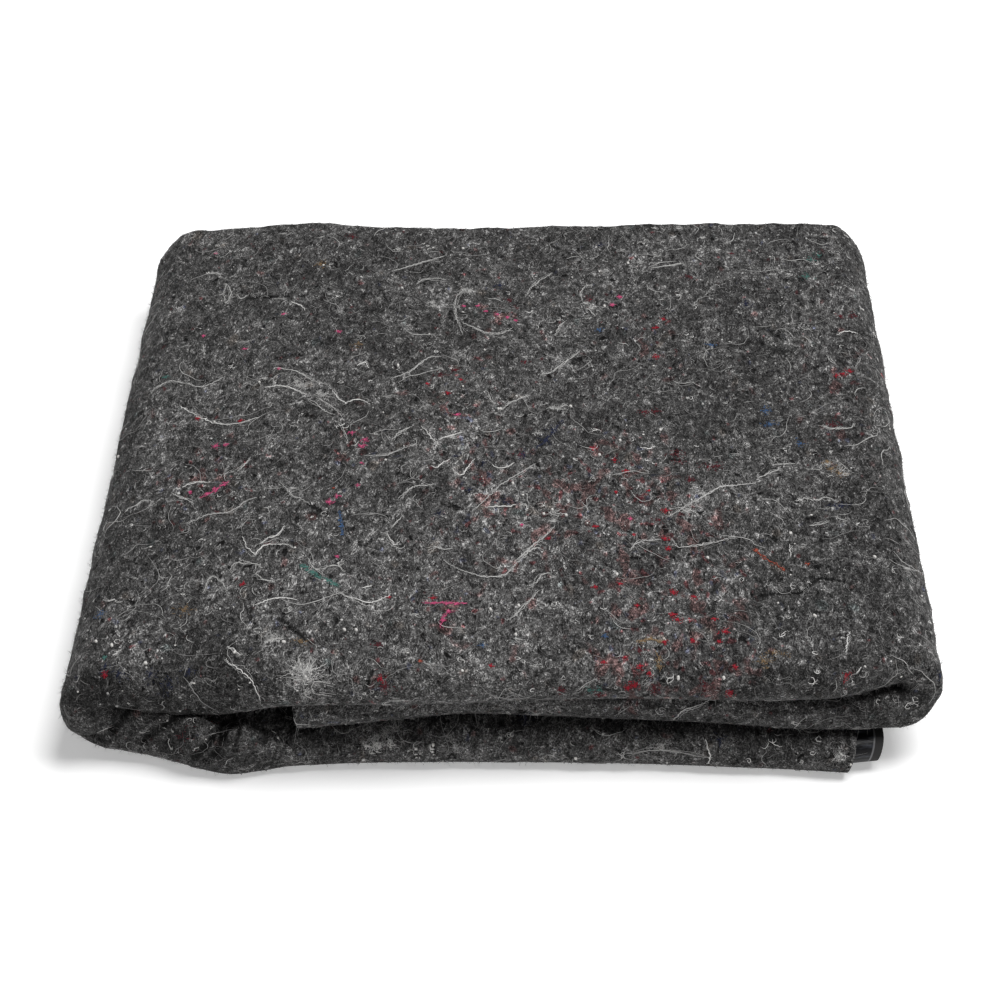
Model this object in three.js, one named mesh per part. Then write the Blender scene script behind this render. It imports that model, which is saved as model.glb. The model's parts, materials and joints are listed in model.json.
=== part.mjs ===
// Folded cover felt: one sheet halved three times along its length, then folded like a letter.
// Millimetres, +Z up, the rounded fold edges towards -Y, origin under the middle of the stack.
import * as THREE from 'three';

// Driving dimensions
const SHEET_THICKNESS = 1.9;
const LAYER_GAP = 0.35;
const LEG_GAP = 0.5;
const HALVINGS = 3;
const FOLDED_WIDTH = 375;
const FOLDED_DEPTH = 375;
const LEFT_HEIGHT = 48;
const LEFT_LEG_HEIGHT = 23.2;
const END_SLANT = 0.25;
const FELT_COLOUR = 0x4b4a4a;

// Sizes that follow from them
const LAYERS = 2 ** HALVINGS;
const PITCH = SHEET_THICKNESS + LAYER_GAP;
const MIDDLE_LAYER = (LAYERS - 1) / 2;
const LEG_HEIGHT = (LAYERS - 1) * PITCH + SHEET_THICKNESS;
const FLAP_LEVEL = LEG_HEIGHT + LEG_GAP;
const TOP_LEVEL = FLAP_LEVEL + LEG_HEIGHT + LEG_GAP;
const STACK_HEIGHT = TOP_LEVEL + LEG_HEIGHT;
const FRONT_ROUND = LEG_HEIGHT / 2;
const BACK_ROUND = (LAYERS / 2 - 1) * PITCH / 2 + SHEET_THICKNESS / 2;
const RIGHT_TURN_X = FOLDED_WIDTH / 2 - LEG_HEIGHT - LEG_GAP / 2;
const LEFT_TURN_X = LEFT_HEIGHT / 2 - FOLDED_WIDTH / 2;

// Faceting
const FRONT_FOLD_STEPS = 5;
const BACK_FOLD_STEPS = 4;
const FLAT_STEPS = [0.04, 0.5, 0.95];
const RIGHT_TURN_STEPS = 8;
const LEFT_TURN_STEPS = 8;
const LEG_STEPS = [-145, -128, -114, -102, -90, -60, -10, 45, 100, 138];

// The three legs of the letter fold, a row for each place along X where a leg changes.
// face: level of its outer side; height: from that side to the inner one; front: set-back of its fold edge.
const FLAP_LEG = [
  { x: -87, face: FLAP_LEVEL, height: LEG_HEIGHT, front: -3.5 },
  { x: -42, face: FLAP_LEVEL, height: LEG_HEIGHT, front: 3 },
  { x: -14, face: FLAP_LEVEL, height: LEG_HEIGHT, front: 7 },
  { x: 48, face: FLAP_LEVEL, height: LEG_HEIGHT, front: 4.5 },
  { x: 86, face: FLAP_LEVEL, height: LEG_HEIGHT, front: 2.5 },
  { x: 132, face: FLAP_LEVEL, height: LEG_HEIGHT, front: -1.5 },
  { x: RIGHT_TURN_X, face: FLAP_LEVEL, height: LEG_HEIGHT, front: 0 },
];
const TOP_LEG = [
  { x: LEFT_TURN_X, face: LEFT_HEIGHT, height: LEFT_LEG_HEIGHT, front: 1 },
  { x: -145, face: 49.2, height: 24, front: -2 },
  { x: -118, face: 51.8, height: 25.2, front: -5 },
  { x: -102, face: 53.3, height: 20.8, front: -8.5 },
  { x: -90, face: STACK_HEIGHT, height: LEG_HEIGHT, front: -10.5 },
  { x: -42, face: STACK_HEIGHT, height: LEG_HEIGHT, front: -9 },
  { x: 43, face: STACK_HEIGHT, height: LEG_HEIGHT, front: -4.2 },
  { x: 138, face: STACK_HEIGHT, height: LEG_HEIGHT, front: -3 },
  { x: RIGHT_TURN_X, face: STACK_HEIGHT, height: LEG_HEIGHT, front: 8 },
];
const BOTTOM_LEG = [
  { x: LEFT_TURN_X, face: 0, height: LEFT_LEG_HEIGHT, front: 1 },
  { x: -145, face: 0, height: 24, front: -3.5 },
  { x: -118, face: 0, height: 24, front: -13 },
  { x: -102, face: 0, height: 20.4, front: -10.5 },
  { x: -90, face: 0, height: LEG_HEIGHT, front: -7 },
  { x: -45, face: 0, height: LEG_HEIGHT, front: -4 },
  { x: 45, face: 0, height: LEG_HEIGHT, front: -3.5 },
  { x: 112, face: 0, height: LEG_HEIGHT, front: -6 },
  { x: 149, face: 0, height: LEG_HEIGHT, front: -8.5 },
];

// Where the nested folds end along X, from the outermost fold to the innermost.
// tuck: how far the front of a fold draws back at the end of the bottom leg.
const FOLD_ENDS = [
  { flap: -87, bottom: 149, tuck: 0 },
  { flap: -85, bottom: 161.8, tuck: 4.5 },
  { flap: -86, bottom: 159, tuck: 4.5 },
  { flap: -84, bottom: 157, tuck: 4.5 },
];

// How far each back edge stands out past the others, from one cut edge to the other
const BACK_EDGES = [
  { name: 'lower cut edge', reach: -5 },
  { name: 'outer fold', reach: 0 },
  { name: 'first fold', reach: -1 },
  { name: 'inner fold', reach: -0.4 },
  { name: 'upper cut edge', reach: 1 },
];

// Soft rises and hollows of the upper side
const SWELLS = [
  { x: -120, y: 165, spread: 48, rise: 3.4 },
  { x: -25, y: 165, spread: 70, rise: -2.4 },
  { x: 135, y: 140, spread: 85, rise: 1.8 },
  { x: -20, y: -70, spread: 95, rise: 1 },
];

// Rounded corners seen from above
const CORNERS = [
  { sideX: 1, sideY: 1, radius: 16 },
  { sideX: -1, sideY: 1, radius: 14 },
  { sideX: 1, sideY: -1, radius: 9 },
  { sideX: -1, sideY: -1, radius: 5 },
];

// The front of the left turn bulges forward, then draws back in a crease.
// angle, spread: from the top leg on; layer, reach: across the stack, outwards from its middle; depth: in mm.
const LEFT_TURN_FRONT = [
  { angle: 1.6, spread: 0.7, layer: 3, reach: 3.5, depth: -6 },
  { angle: 2.3, spread: 0.35, layer: 1, reach: 2.6, depth: 2.2 },
];

// The left end of the underside, lifted off the ground
const LEFT_LIFT = { from: -138, rise: 3 };

/** Value of one column of a table at x, on a smooth curve through its rows. */
function along(rows, column, x) {
  const last = rows.length - 1;
  const at = THREE.MathUtils.clamp(x, rows[0].x, rows[last].x);
  const next = Math.max(1, rows.findIndex((row) => row.x >= at));
  const slope = (i) => {
    const before = rows[Math.max(0, i - 1)];
    const after = rows[Math.min(last, i + 1)];
    return (after[column] - before[column]) / (after.x - before.x);
  };
  const a = rows[next - 1];
  const b = rows[next];
  const span = b.x - a.x;
  const t = (at - a.x) / span;
  const ease = t * t * (3 - 2 * t);
  const leave = t * (1 - t) * (1 - t) * span * slope(next - 1);
  const arrive = t * t * (t - 1) * span * slope(next);
  return a[column] + (b[column] - a[column]) * ease + leave + arrive;
}

/** Bell curve: 1 in its middle, fading out over the spread. */
function bell(distance, spread) {
  return Math.exp(-((distance / spread) ** 2));
}

/** Layers of the folded stack from its inner side to its outer side, numbered along the sheet. */
function foldedStack(halvings) {
  let columns = Array.from({ length: 2 ** halvings }, (_, layer) => [layer]);
  while (columns.length > 1) {
    const turned = columns.slice(columns.length / 2).reverse();
    columns = turned.map((stack, i) => [...columns[i], ...stack.reverse()]);
  }
  return columns[0];
}

/** Stations of the zigzag section: place v from front to back, offsets, facing of the felt side. */
function sectionStations() {
  const stack = foldedStack(HALVINGS);
  const level = (layer) => stack.indexOf(layer) - MIDDLE_LAYER;
  const nest = (layer) => Math.floor(MIDDLE_LAYER - Math.abs(level(layer)) + 0.5);
  const backEdge = (layer) => Math.floor((layer + 1) / 2);
  const stations = [];
  const flat = (layer, steps) => {
    const mate = THREE.MathUtils.clamp(layer % 2 ? layer + 1 : layer - 1, 0, LAYERS - 1);
    for (const v of layer % 2 ? steps : steps.toReversed()) {
      stations.push({
        v,
        edge: backEdge(layer),
        dy: 0,
        n: level(layer),
        faceY: 0,
        faceN: layer % 2 ? 1 : -1,
        nest: nest(layer),
        mate: nest(mate),
      });
    }
  };
  const fold = (layer) => {
    const atFront = layer % 2 === 0;
    const steps = atFront ? FRONT_FOLD_STEPS : BACK_FOLD_STEPS;
    const centre = (level(layer) + level(layer + 1)) / 2;
    const arm = level(layer) - centre;
    const felt = Math.sign(arm) * (atFront ? -1 : 1);
    const side = atFront ? -1 : 1;
    for (let i = 0; i <= steps; i++) {
      const angle = (Math.PI * i) / steps;
      stations.push({
        v: atFront ? 0 : 1,
        edge: backEdge(layer),
        dy: side * Math.abs(arm) * PITCH * Math.sin(angle),
        n: centre + arm * Math.cos(angle),
        faceY: felt * side * Math.sin(angle),
        faceN: felt * Math.sign(arm) * Math.cos(angle),
        nest: nest(layer),
        mate: nest(layer + 1),
      });
    }
  };
  for (let layer = 0; layer < LAYERS; layer++) {
    const isCut = layer === 0 || layer === LAYERS - 1;
    flat(layer, isCut ? [...FLAT_STEPS, 1] : FLAT_STEPS);
    if (layer < LAYERS - 1) fold(layer);
  }
  return stations;
}

/** A station on one of the legs; out is +1 where the outer side of the strip looks up. */
function legStation(rows, x, out, end) {
  const height = along(rows, 'height', x);
  const face = along(rows, 'face', x);
  const front = along(rows, 'front', x);
  return { x, z: face - (out * height) / 2, nx: 0, nz: out, height, front, creases: [], end };
}

/** Stations round a turn from one leg station to another, about the given X. */
function turnStations(from, to, aroundX, steps, side, creases = []) {
  const stations = [];
  const middleZ = (from.z + to.z) / 2;
  const radius = Math.abs(to.z - from.z) / 2;
  for (let i = 1; i < steps; i++) {
    const share = i / steps;
    const angle = Math.PI * share;
    const nx = side * Math.sin(angle);
    const nz = from.nz * Math.cos(angle);
    stations.push({
      x: aroundX + nx * radius,
      z: middleZ + nz * radius,
      nx,
      nz,
      height: THREE.MathUtils.lerp(from.height, to.height, share),
      front: THREE.MathUtils.lerp(from.front, to.front, share),
      creases: creases.map((row) => ({ ...row, depth: row.depth * bell(angle - row.angle, row.spread) })),
    });
  }
  return stations;
}

/** Stations along the strip, from the flap's end over the top to the end of the bottom leg. */
function pathStations() {
  const flapSteps = LEG_STEPS.filter((x) => x > FLAP_LEG[0].x);
  const flap = flapSteps.map((x) => legStation(FLAP_LEG, x, -1));
  flap.unshift(legStation(FLAP_LEG, FLAP_LEG[0].x, -1, 'flap'));
  flap.push(legStation(FLAP_LEG, RIGHT_TURN_X, -1));
  const topX = [LEFT_TURN_X, ...LEG_STEPS, RIGHT_TURN_X].reverse();
  const top = topX.map((x) => legStation(TOP_LEG, x, 1));
  const bottom = [LEFT_TURN_X, ...LEG_STEPS].map((x) => legStation(BOTTOM_LEG, x, -1));
  bottom.push(legStation(BOTTOM_LEG, BOTTOM_LEG.at(-1).x, -1, 'bottom'));
  const right = turnStations(flap.at(-1), top[0], RIGHT_TURN_X, RIGHT_TURN_STEPS, 1);
  const left = turnStations(top.at(-1), bottom[0], LEFT_TURN_X, LEFT_TURN_STEPS, -1, LEFT_TURN_FRONT);
  return [...flap, ...right, ...top, ...left, ...bottom];
}

/** End of a layer along X: it nears that of the layer it joins at the back, and slants with thickness. */
function endX(end, section) {
  const own = FOLD_ENDS[section.nest][end];
  const joined = FOLD_ENDS[section.mate][end];
  const slant = END_SLANT * section.n * PITCH * (end === 'bottom' ? -1 : 1);
  return THREE.MathUtils.lerp(own, joined, section.v / 2) + slant;
}

/** Rounds the corners, swells the upper side and lifts the left end of the underside. */
function settle(point) {
  for (const { sideX, sideY, radius } of CORNERS) {
    const startX = FOLDED_WIDTH / 2 - radius;
    const startY = FOLDED_DEPTH / 2 - radius;
    const u = (sideX * point.x - startX) / radius;
    const v = (sideY * point.y - startY) / radius;
    if (u > 0 && v > 0) {
      point.x = sideX * (startX + radius * u * Math.sqrt(1 - Math.min(1, v) ** 2 / 2));
      point.y = sideY * (startY + radius * v * Math.sqrt(1 - Math.min(1, u) ** 2 / 2));
    }
  }
  let rise = 0;
  for (const swell of SWELLS) {
    rise += swell.rise * bell(Math.hypot(point.x - swell.x, point.y - swell.y), swell.spread);
  }
  const lift = LEFT_LIFT.rise * THREE.MathUtils.smoothstep(-point.x, -LEFT_LIFT.from, FOLDED_WIDTH / 2);
  const share = point.z / STACK_HEIGHT;
  point.z += rise * share + lift * Math.max(0, 1 - share);
  return point;
}

/** A point of the sheet; side is +1 on the felt face and -1 on the film face. */
function sheetPoint(path, section, side) {
  const half = (side * SHEET_THICKNESS) / 2;
  const pitch = (path.height - SHEET_THICKNESS) / (LAYERS - 1);
  const offset = section.n * pitch + half * section.faceN;
  let front = path.front;
  if (path.end === 'bottom') front += FOLD_ENDS[section.nest].tuck;
  for (const { layer, reach, depth } of path.creases) {
    front += depth * bell(section.n - layer, reach);
  }
  const frontY = front - FOLDED_DEPTH / 2 + FRONT_ROUND;
  const backY = FOLDED_DEPTH / 2 - BACK_ROUND + BACK_EDGES[section.edge].reach;
  const y = THREE.MathUtils.lerp(frontY, backY, section.v) + section.dy + half * section.faceY;
  const x = path.end ? endX(path.end, section) : path.x;
  return settle(new THREE.Vector3(x + offset * path.nx, y, path.z + offset * path.nz));
}

/** The closed sheet: a felt face, a film face and a rim round all four edges. */
function sheetGeometry() {
  const path = pathStations();
  const section = sectionStations();
  const positions = [];
  const vertex = (side, i, j) => (side * path.length + i) * section.length + j;
  for (const side of [1, -1]) {
    for (const pathStation of path) {
      for (const sectionStation of section) {
        positions.push(...sheetPoint(pathStation, sectionStation, side));
      }
    }
  }
  const triangles = [];
  const quad = (a, b, c, d) => triangles.push(a, b, c, a, c, d);
  const lastI = path.length - 1;
  const lastJ = section.length - 1;
  for (let i = 0; i < lastI; i++) {
    for (let j = 0; j < lastJ; j++) {
      const steps = [[i, j], [i, j + 1], [i + 1, j + 1], [i + 1, j]];
      const runsBackwards = section[j].faceN > 0;
      const runsLeftwards = path[i].nz > 0;
      if (runsBackwards === runsLeftwards) steps.push(steps.shift());
      quad(...steps.map((step) => vertex(0, ...step)));
      quad(...steps.toReversed().map((step) => vertex(1, ...step)));
    }
  }
  for (let i = 0; i < lastI; i++) {
    quad(vertex(0, i, 0), vertex(0, i + 1, 0), vertex(1, i + 1, 0), vertex(1, i, 0));
    quad(vertex(0, i, lastJ), vertex(1, i, lastJ), vertex(1, i + 1, lastJ), vertex(0, i + 1, lastJ));
  }
  for (let j = 0; j < lastJ; j++) {
    quad(vertex(0, 0, j), vertex(1, 0, j), vertex(1, 0, j + 1), vertex(0, 0, j + 1));
    quad(vertex(0, lastI, j), vertex(0, lastI, j + 1), vertex(1, lastI, j + 1), vertex(1, lastI, j));
  }
  const geometry = new THREE.BufferGeometry();
  geometry.setAttribute('position', new THREE.Float32BufferAttribute(positions, 3));
  geometry.setIndex(triangles);
  geometry.center();
  geometry.translate(0, 0, -geometry.boundingBox.min.z);
  geometry.computeVertexNormals();
  return geometry;
}

const felt = new THREE.MeshStandardMaterial({ color: FELT_COLOUR, roughness: 0.95, metalness: 0 });
const sheet = new THREE.Mesh(sheetGeometry(), felt);
sheet.name = 'felt_sheet';

const part = new THREE.Group();
part.add(sheet);

export default part;
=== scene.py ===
"""Looks of a folded cover felt: one sheet on its folds, the loose fibres on it, and a plain studio."""

import json
import logging
import math
from collections.abc import Iterable, Sequence
from dataclasses import dataclass, fields
from enum import IntEnum
from itertools import cycle
from typing import NamedTuple

import bmesh
import bpy
import numpy as np
from bpy.types import Collection, GeometryNodeTree, Material, Mesh, Node, NodeSocket, NodeTree, Object
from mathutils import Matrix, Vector, noise

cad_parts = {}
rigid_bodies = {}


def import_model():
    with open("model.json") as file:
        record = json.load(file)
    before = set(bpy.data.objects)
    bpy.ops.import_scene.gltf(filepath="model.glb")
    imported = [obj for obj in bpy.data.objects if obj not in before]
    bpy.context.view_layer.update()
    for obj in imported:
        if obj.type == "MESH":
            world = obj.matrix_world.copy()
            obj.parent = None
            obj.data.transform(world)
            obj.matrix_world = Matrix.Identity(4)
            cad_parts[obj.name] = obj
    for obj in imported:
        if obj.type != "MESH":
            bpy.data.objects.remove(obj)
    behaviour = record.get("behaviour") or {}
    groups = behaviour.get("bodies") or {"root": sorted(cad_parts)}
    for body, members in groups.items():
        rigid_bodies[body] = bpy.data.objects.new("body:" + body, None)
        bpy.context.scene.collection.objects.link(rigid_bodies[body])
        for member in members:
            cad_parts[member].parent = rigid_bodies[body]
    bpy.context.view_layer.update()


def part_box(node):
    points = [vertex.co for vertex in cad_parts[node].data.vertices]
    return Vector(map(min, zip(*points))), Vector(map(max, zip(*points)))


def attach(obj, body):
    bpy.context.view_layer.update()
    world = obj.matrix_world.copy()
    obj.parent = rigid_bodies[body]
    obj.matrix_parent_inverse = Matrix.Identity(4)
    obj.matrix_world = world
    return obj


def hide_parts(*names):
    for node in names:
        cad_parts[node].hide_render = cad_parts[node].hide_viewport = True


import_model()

MM = 0.001
NODE = "felt_sheet"
BODY = "root"
# height of the upper side in mm, and a distance in metres well past the part
TOP_LEVEL = 54.0
FAR = 1.0

log = logging.getLogger("folded_felt")

Colour = tuple[float, float, float]
Point = tuple[float, float, float]
Span = tuple[float, float]
Places = Sequence[Sequence[float]]
Array = np.ndarray


class Side(IntEnum):
    """The two faces of the sheet."""

    FELT = 1
    FILM = -1


class Stretch(IntEnum):
    """The stretches of the letter-folded strip, in order along it."""

    FLAP = 0
    RIGHT_TURN = 1
    TOP = 2
    LEFT_TURN = 3
    BOTTOM = 4


class End(IntEnum):
    """The cut end that a station lies near."""

    NONE = 0
    FLAP = 1
    BOTTOM = 2


class LegRow(NamedTuple):
    """A place along a leg: level of its outer side, height from there inwards, set-back of its front."""

    x: float
    face: float
    height: float
    front: float


class FoldEnd(NamedTuple):
    """Where one of the nested folds ends along X, and how far its front draws back at the bottom end."""

    flap: float
    bottom: float
    tuck: float


class Swell(NamedTuple):
    """A soft rise or hollow of the upper side."""

    x: float
    y: float
    spread: float
    rise: float


class Corner(NamedTuple):
    """A rounded corner seen from above."""

    side_x: int
    side_y: int
    radius: float


class TurnCrease(NamedTuple):
    """A place on the front of the left turn that bulges forward or draws back."""

    angle: float
    spread: float
    layer: float
    reach: float
    depth: float


class Crease(NamedTuple):
    """A straight stretch of a crease on the felt, a trough where its depth is positive."""

    start: Point
    end: Point
    width: float
    depth: float


# how much each axis counts in a line's distance, on the upper side and on the front
TOP_LIE = (1.0, 1.0, 0.3)
FRONT_LIE = (1.0, 0.5, 1.0)


class PaintedCreaseLine(NamedTuple):
    """A straight stretch of a thin painted line on the felt: painted shade along a crease or wrinkle where
    its weight is negative, a painted highlight on a ridge beside one where it is positive.
    """

    start: Point
    end: Point
    width: float
    weight: float
    lie: Point = TOP_LIE


class Lumps(NamedTuple):
    """One grade of the felt's unevenness."""

    length: float
    height: float
    octaves: int


class Cloud(NamedTuple):
    """A broad soft patch of the felt: where it is, how far it spreads and how strong it is."""

    x: float
    y: float
    spread: float
    weight: float = 1.0
    z: float = TOP_LEVEL


class Thread(NamedTuple):
    """A given thread: the points it runs through, its tone and its girth."""

    through: Array
    tone: int
    girth: float


class Mark(NamedTuple):
    """A given place where fibres gather: where, how many, how far spread, their size, tone and lie."""

    at: Point
    many: int
    spread: float
    size: float
    tone: int
    turn: float = 0.0
    jitter: float = math.pi


def on_top(place: Sequence[float]) -> Point:
    """A place in mm, on the upper side where it has no height of its own."""
    return (*place, TOP_LEVEL)[:3]


def along(rows: Sequence[LegRow], column: str, x: Array) -> Array:
    """Reads one column of a leg's table, at places along it, on a smooth curve through its rows."""
    return rounded(x, np.array([row.x for row in rows]), np.array([getattr(row, column) for row in rows]))


def rounded(at: Array, xs: Array, ys: Array) -> Array:
    """Reads a smooth curve through given points.

    Args:
        at: Places to read at.
        xs: Rising places of the points.
        ys: Their values.

    Returns:
        The curve's value at each place.
    """
    before = np.maximum(np.arange(len(xs)) - 1, 0)
    after = np.minimum(np.arange(len(xs)) + 1, len(xs) - 1)
    slopes = (ys[after] - ys[before]) / (xs[after] - xs[before])
    at = np.clip(at, xs[0], xs[-1])
    b = np.clip(np.searchsorted(xs, at), 1, len(xs) - 1)
    a = b - 1
    span = xs[b] - xs[a]
    t = (at - xs[a]) / span
    ease = t * t * (3 - 2 * t)
    leave = t * (1 - t) ** 2 * span * slopes[a]
    arrive = t * t * (t - 1) * span * slopes[b]
    return ys[a] + (ys[b] - ys[a]) * ease + leave + arrive


def bell(distance: Array, spread: float) -> Array:
    """Bell curve: 1 in its middle, fading out over the spread."""
    return np.exp(-((distance / spread) ** 2))


def smooth(value: Array, low: float, high: float) -> Array:
    """Smooth step from 0 at low to 1 at high."""
    t = np.clip((value - low) / (high - low), 0, 1)
    return t * t * (3 - 2 * t)


def evenly(start: float, stop: float, step: float) -> Array:
    """Places from start to stop, both included, no further apart than the step."""
    return np.linspace(start, stop, max(2, math.ceil(abs(stop - start) / step) + 1))


def zipped(a: Array, at: Array, b: Array, bt: Array) -> list[tuple[int, int, int]]:
    """Joins two rows of vertices that run side by side by triangles.

    Args:
        a: Vertices of the first row.
        at: Rising place of each along the row.
        b: Vertices of the second row.
        bt: Rising place of each along the row.

    Returns:
        The triangles.
    """
    faces = []
    i = j = 0
    while i < len(a) - 1 or j < len(b) - 1:
        if j == len(b) - 1 or (i < len(a) - 1 and at[i + 1] <= bt[j + 1]):
            faces.append((int(a[i]), int(a[i + 1]), int(b[j])))
            i += 1
        else:
            faces.append((int(a[i]), int(b[j + 1]), int(b[j])))
            j += 1
    return faces


def keep(mesh: Mesh, columns: dict[str, tuple[str, Sequence]]) -> None:
    """Keeps values on a mesh's points: the type and the values of each attribute."""
    for name, (kind, values) in columns.items():
        mesh.attributes.new(name, kind, "POINT").data.foreach_set("value", values)


class Wire:
    """A socket whose value can be used in sums."""

    def __init__(self, nodes: "Nodes", socket: NodeSocket) -> None:
        """Keeps the socket and the tree it belongs to."""
        self.nodes = nodes
        self.socket = socket

    def math(self, operation: str, *others: "Wire | float", swap: bool = False) -> "Wire":
        """Adds a Math node, with this value first, or last where it is swapped."""
        values = [*others, self] if swap else [self, *others]
        return self.nodes.add("ShaderNodeMath", {"operation": operation}, dict(enumerate(values)))

    def __add__(self, other: "Wire | float") -> "Wire":
        """Sum."""
        return self.math("ADD", other)

    __radd__ = __add__

    def __mul__(self, other: "Wire | float") -> "Wire":
        """Product."""
        return self.math("MULTIPLY", other)

    __rmul__ = __mul__

    def __sub__(self, other: "Wire | float") -> "Wire":
        """Difference."""
        return self.math("SUBTRACT", other)

    def __rsub__(self, other: "Wire | float") -> "Wire":
        """Difference from a number."""
        return self.math("SUBTRACT", other, swap=True)

    def __truediv__(self, other: "Wire | float") -> "Wire":
        """Quotient."""
        return self.math("DIVIDE", other)

    def __abs__(self) -> "Wire":
        """Size without its sign."""
        return self.math("ABSOLUTE")

    def between(self, low: float, high: float) -> "Wire":
        """Smooth step from 0 at low to 1 at high."""
        settings = {"interpolation_type": "SMOOTHSTEP"}
        return self.nodes.add("ShaderNodeMapRange", settings, {0: self, 1: low, 2: high})


class Nodes:
    """Adds nodes to a tree: the settings first, then the values or links of the sockets."""

    def __init__(self, tree: NodeTree) -> None:
        """Keeps the tree."""
        self.tree = tree

    @staticmethod
    def socket(sockets: bpy.types.bpy_prop_collection, key: str | int) -> NodeSocket:
        """Finds a socket in use.

        Args:
            sockets: A node's inputs or outputs.
            key: Its place, identifier or name.

        Returns:
            The socket.
        """
        used = [s for s in sockets if s.enabled]
        if isinstance(key, int):
            return used[key]
        return next(s for s in used if key in (s.identifier, s.name))

    def add(
        self, kind: str, settings: dict | None = None, inputs: dict | None = None, out: str | int = 0
    ) -> Wire:
        """Adds a node.

        Args:
            kind: The node's type.
            settings: Its own settings.
            inputs: Values or links by socket.
            out: The output to hand on.

        Returns:
            That output.
        """
        node = self.tree.nodes.new(kind)
        for name, value in (settings or {}).items():
            setattr(node, name, value)
        for key, value in (inputs or {}).items():
            self.feed(self.socket(node.inputs, key), value)
        return Wire(self, self.socket(node.outputs, out) if node.outputs else None)

    def feed(self, socket: NodeSocket, value: object) -> None:
        """Links a wire to a socket, or sets its value.

        Args:
            socket: The socket.
            value: The wire or the value.
        """
        if isinstance(value, Wire):
            self.tree.links.new(value.socket, socket)
        else:
            socket.default_value = value

    def noise(self, place: Wire, length: float, detail: float = 2.0, rough: float = 0.5) -> Wire:
        """Noise of a given wave length."""
        waves = {"Vector": place, "Scale": 1 / length, "Detail": detail, "Roughness": rough}
        return self.add("ShaderNodeTexNoise", None, waves)

    def mix(self, share: Wire | float, a: Wire | Colour, b: Wire | Colour) -> Wire:
        """Adds a Mix node of colours.

        Args:
            share: How much of the second shows.
            a: The first colour.
            b: The second colour.

        Returns:
            The colour between.
        """
        ends = [value if isinstance(value, Wire) else (*value, 1.0) for value in (a, b)]
        inputs = {"Factor_Float": share, "A_Color": ends[0], "B_Color": ends[1]}
        return self.add("ShaderNodeMix", {"data_type": "RGBA"}, inputs, out="Result_Color")

    def vector(self, operation: str, a: Wire | Point, b: Wire | Point = (), out: str | int = 0) -> Wire:
        """Adds a Vector Math node, with a second vector where the operation has one."""
        inputs = dict(enumerate((a, b) if b else (a,)))
        return self.add("ShaderNodeVectorMath", {"operation": operation}, inputs, out)

    def shifted(self, place: Wire, offset: Wire | Point) -> Wire:
        """A place moved by a vector."""
        return self.vector("ADD", place, offset)

    def scaled(self, vector: Wire | Point, factor: Wire | float) -> Wire:
        """A vector times a number."""
        return self.add("ShaderNodeVectorMath", {"operation": "SCALE"}, {0: vector, "Scale": factor})

    def stretched(self, place: Wire, lengths: Point) -> Wire:
        """A place measured in lengths of its own along each axis."""
        inputs = {"Vector": place, "Scale": lengths}
        return self.add("ShaderNodeMapping", {"vector_type": "TEXTURE"}, inputs)

    def attribute(self, name: str) -> Wire:
        """A value kept on the mesh's points, read in a material."""
        return self.add("ShaderNodeAttribute", {"attribute_name": name}, out="Fac")

    def bump(self, shader: Node, height: Wire, distance: float, strength: float) -> None:
        """Gives a shader a relief."""
        relief = {"Strength": strength, "Distance": distance, "Height": height}
        self.feed(shader.inputs["Normal"], self.add("ShaderNodeBump", None, relief))


@dataclass(frozen=True)
class Finish:
    """A surface finish, made into a material by its own nodes."""

    name: str
    roughness: float = 0.9
    specular: float = 0.1
    sheen: float = 0.0

    def material(self) -> Material:
        """Makes the material.

        Returns:
            The material, with its constants on the shader's own sockets.
        """
        material = bpy.data.materials.new(self.name)
        material.use_nodes = True
        shader = material.node_tree.nodes["Principled BSDF"]
        shader.inputs["Roughness"].default_value = self.roughness
        shader.inputs["Specular IOR Level"].default_value = self.specular
        shader.inputs["Sheen Weight"].default_value = self.sheen
        self.paint(Nodes(material.node_tree), shader)
        return material

    def paint(self, nodes: Nodes, shader: Node) -> None:
        """Adds the nodes that change over the surface."""

    @staticmethod
    def millimetres(nodes: Nodes) -> Wire:
        """The place on the piece, in millimetres."""
        return nodes.scaled(nodes.add("ShaderNodeTexCoord", out="Object"), 1 / MM)


class Tone(NamedTuple):
    """One grade of the felt's mottling: wave length in mm, and its weight in the tone."""

    length: float
    weight: float


class Strand(NamedTuple):
    """One set of fine fibre lines: lie, length and pitch in mm, width as a share, and its weight."""

    angle: float
    length: float
    pitch: float
    width: float
    weight: float


class Dye(NamedTuple):
    """Stray dyed fibre: its tint of the grey, its patch length in mm, its rarity, and its gain where dyed."""

    tint: Colour
    length: float
    rarity: float
    gather: float


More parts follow.
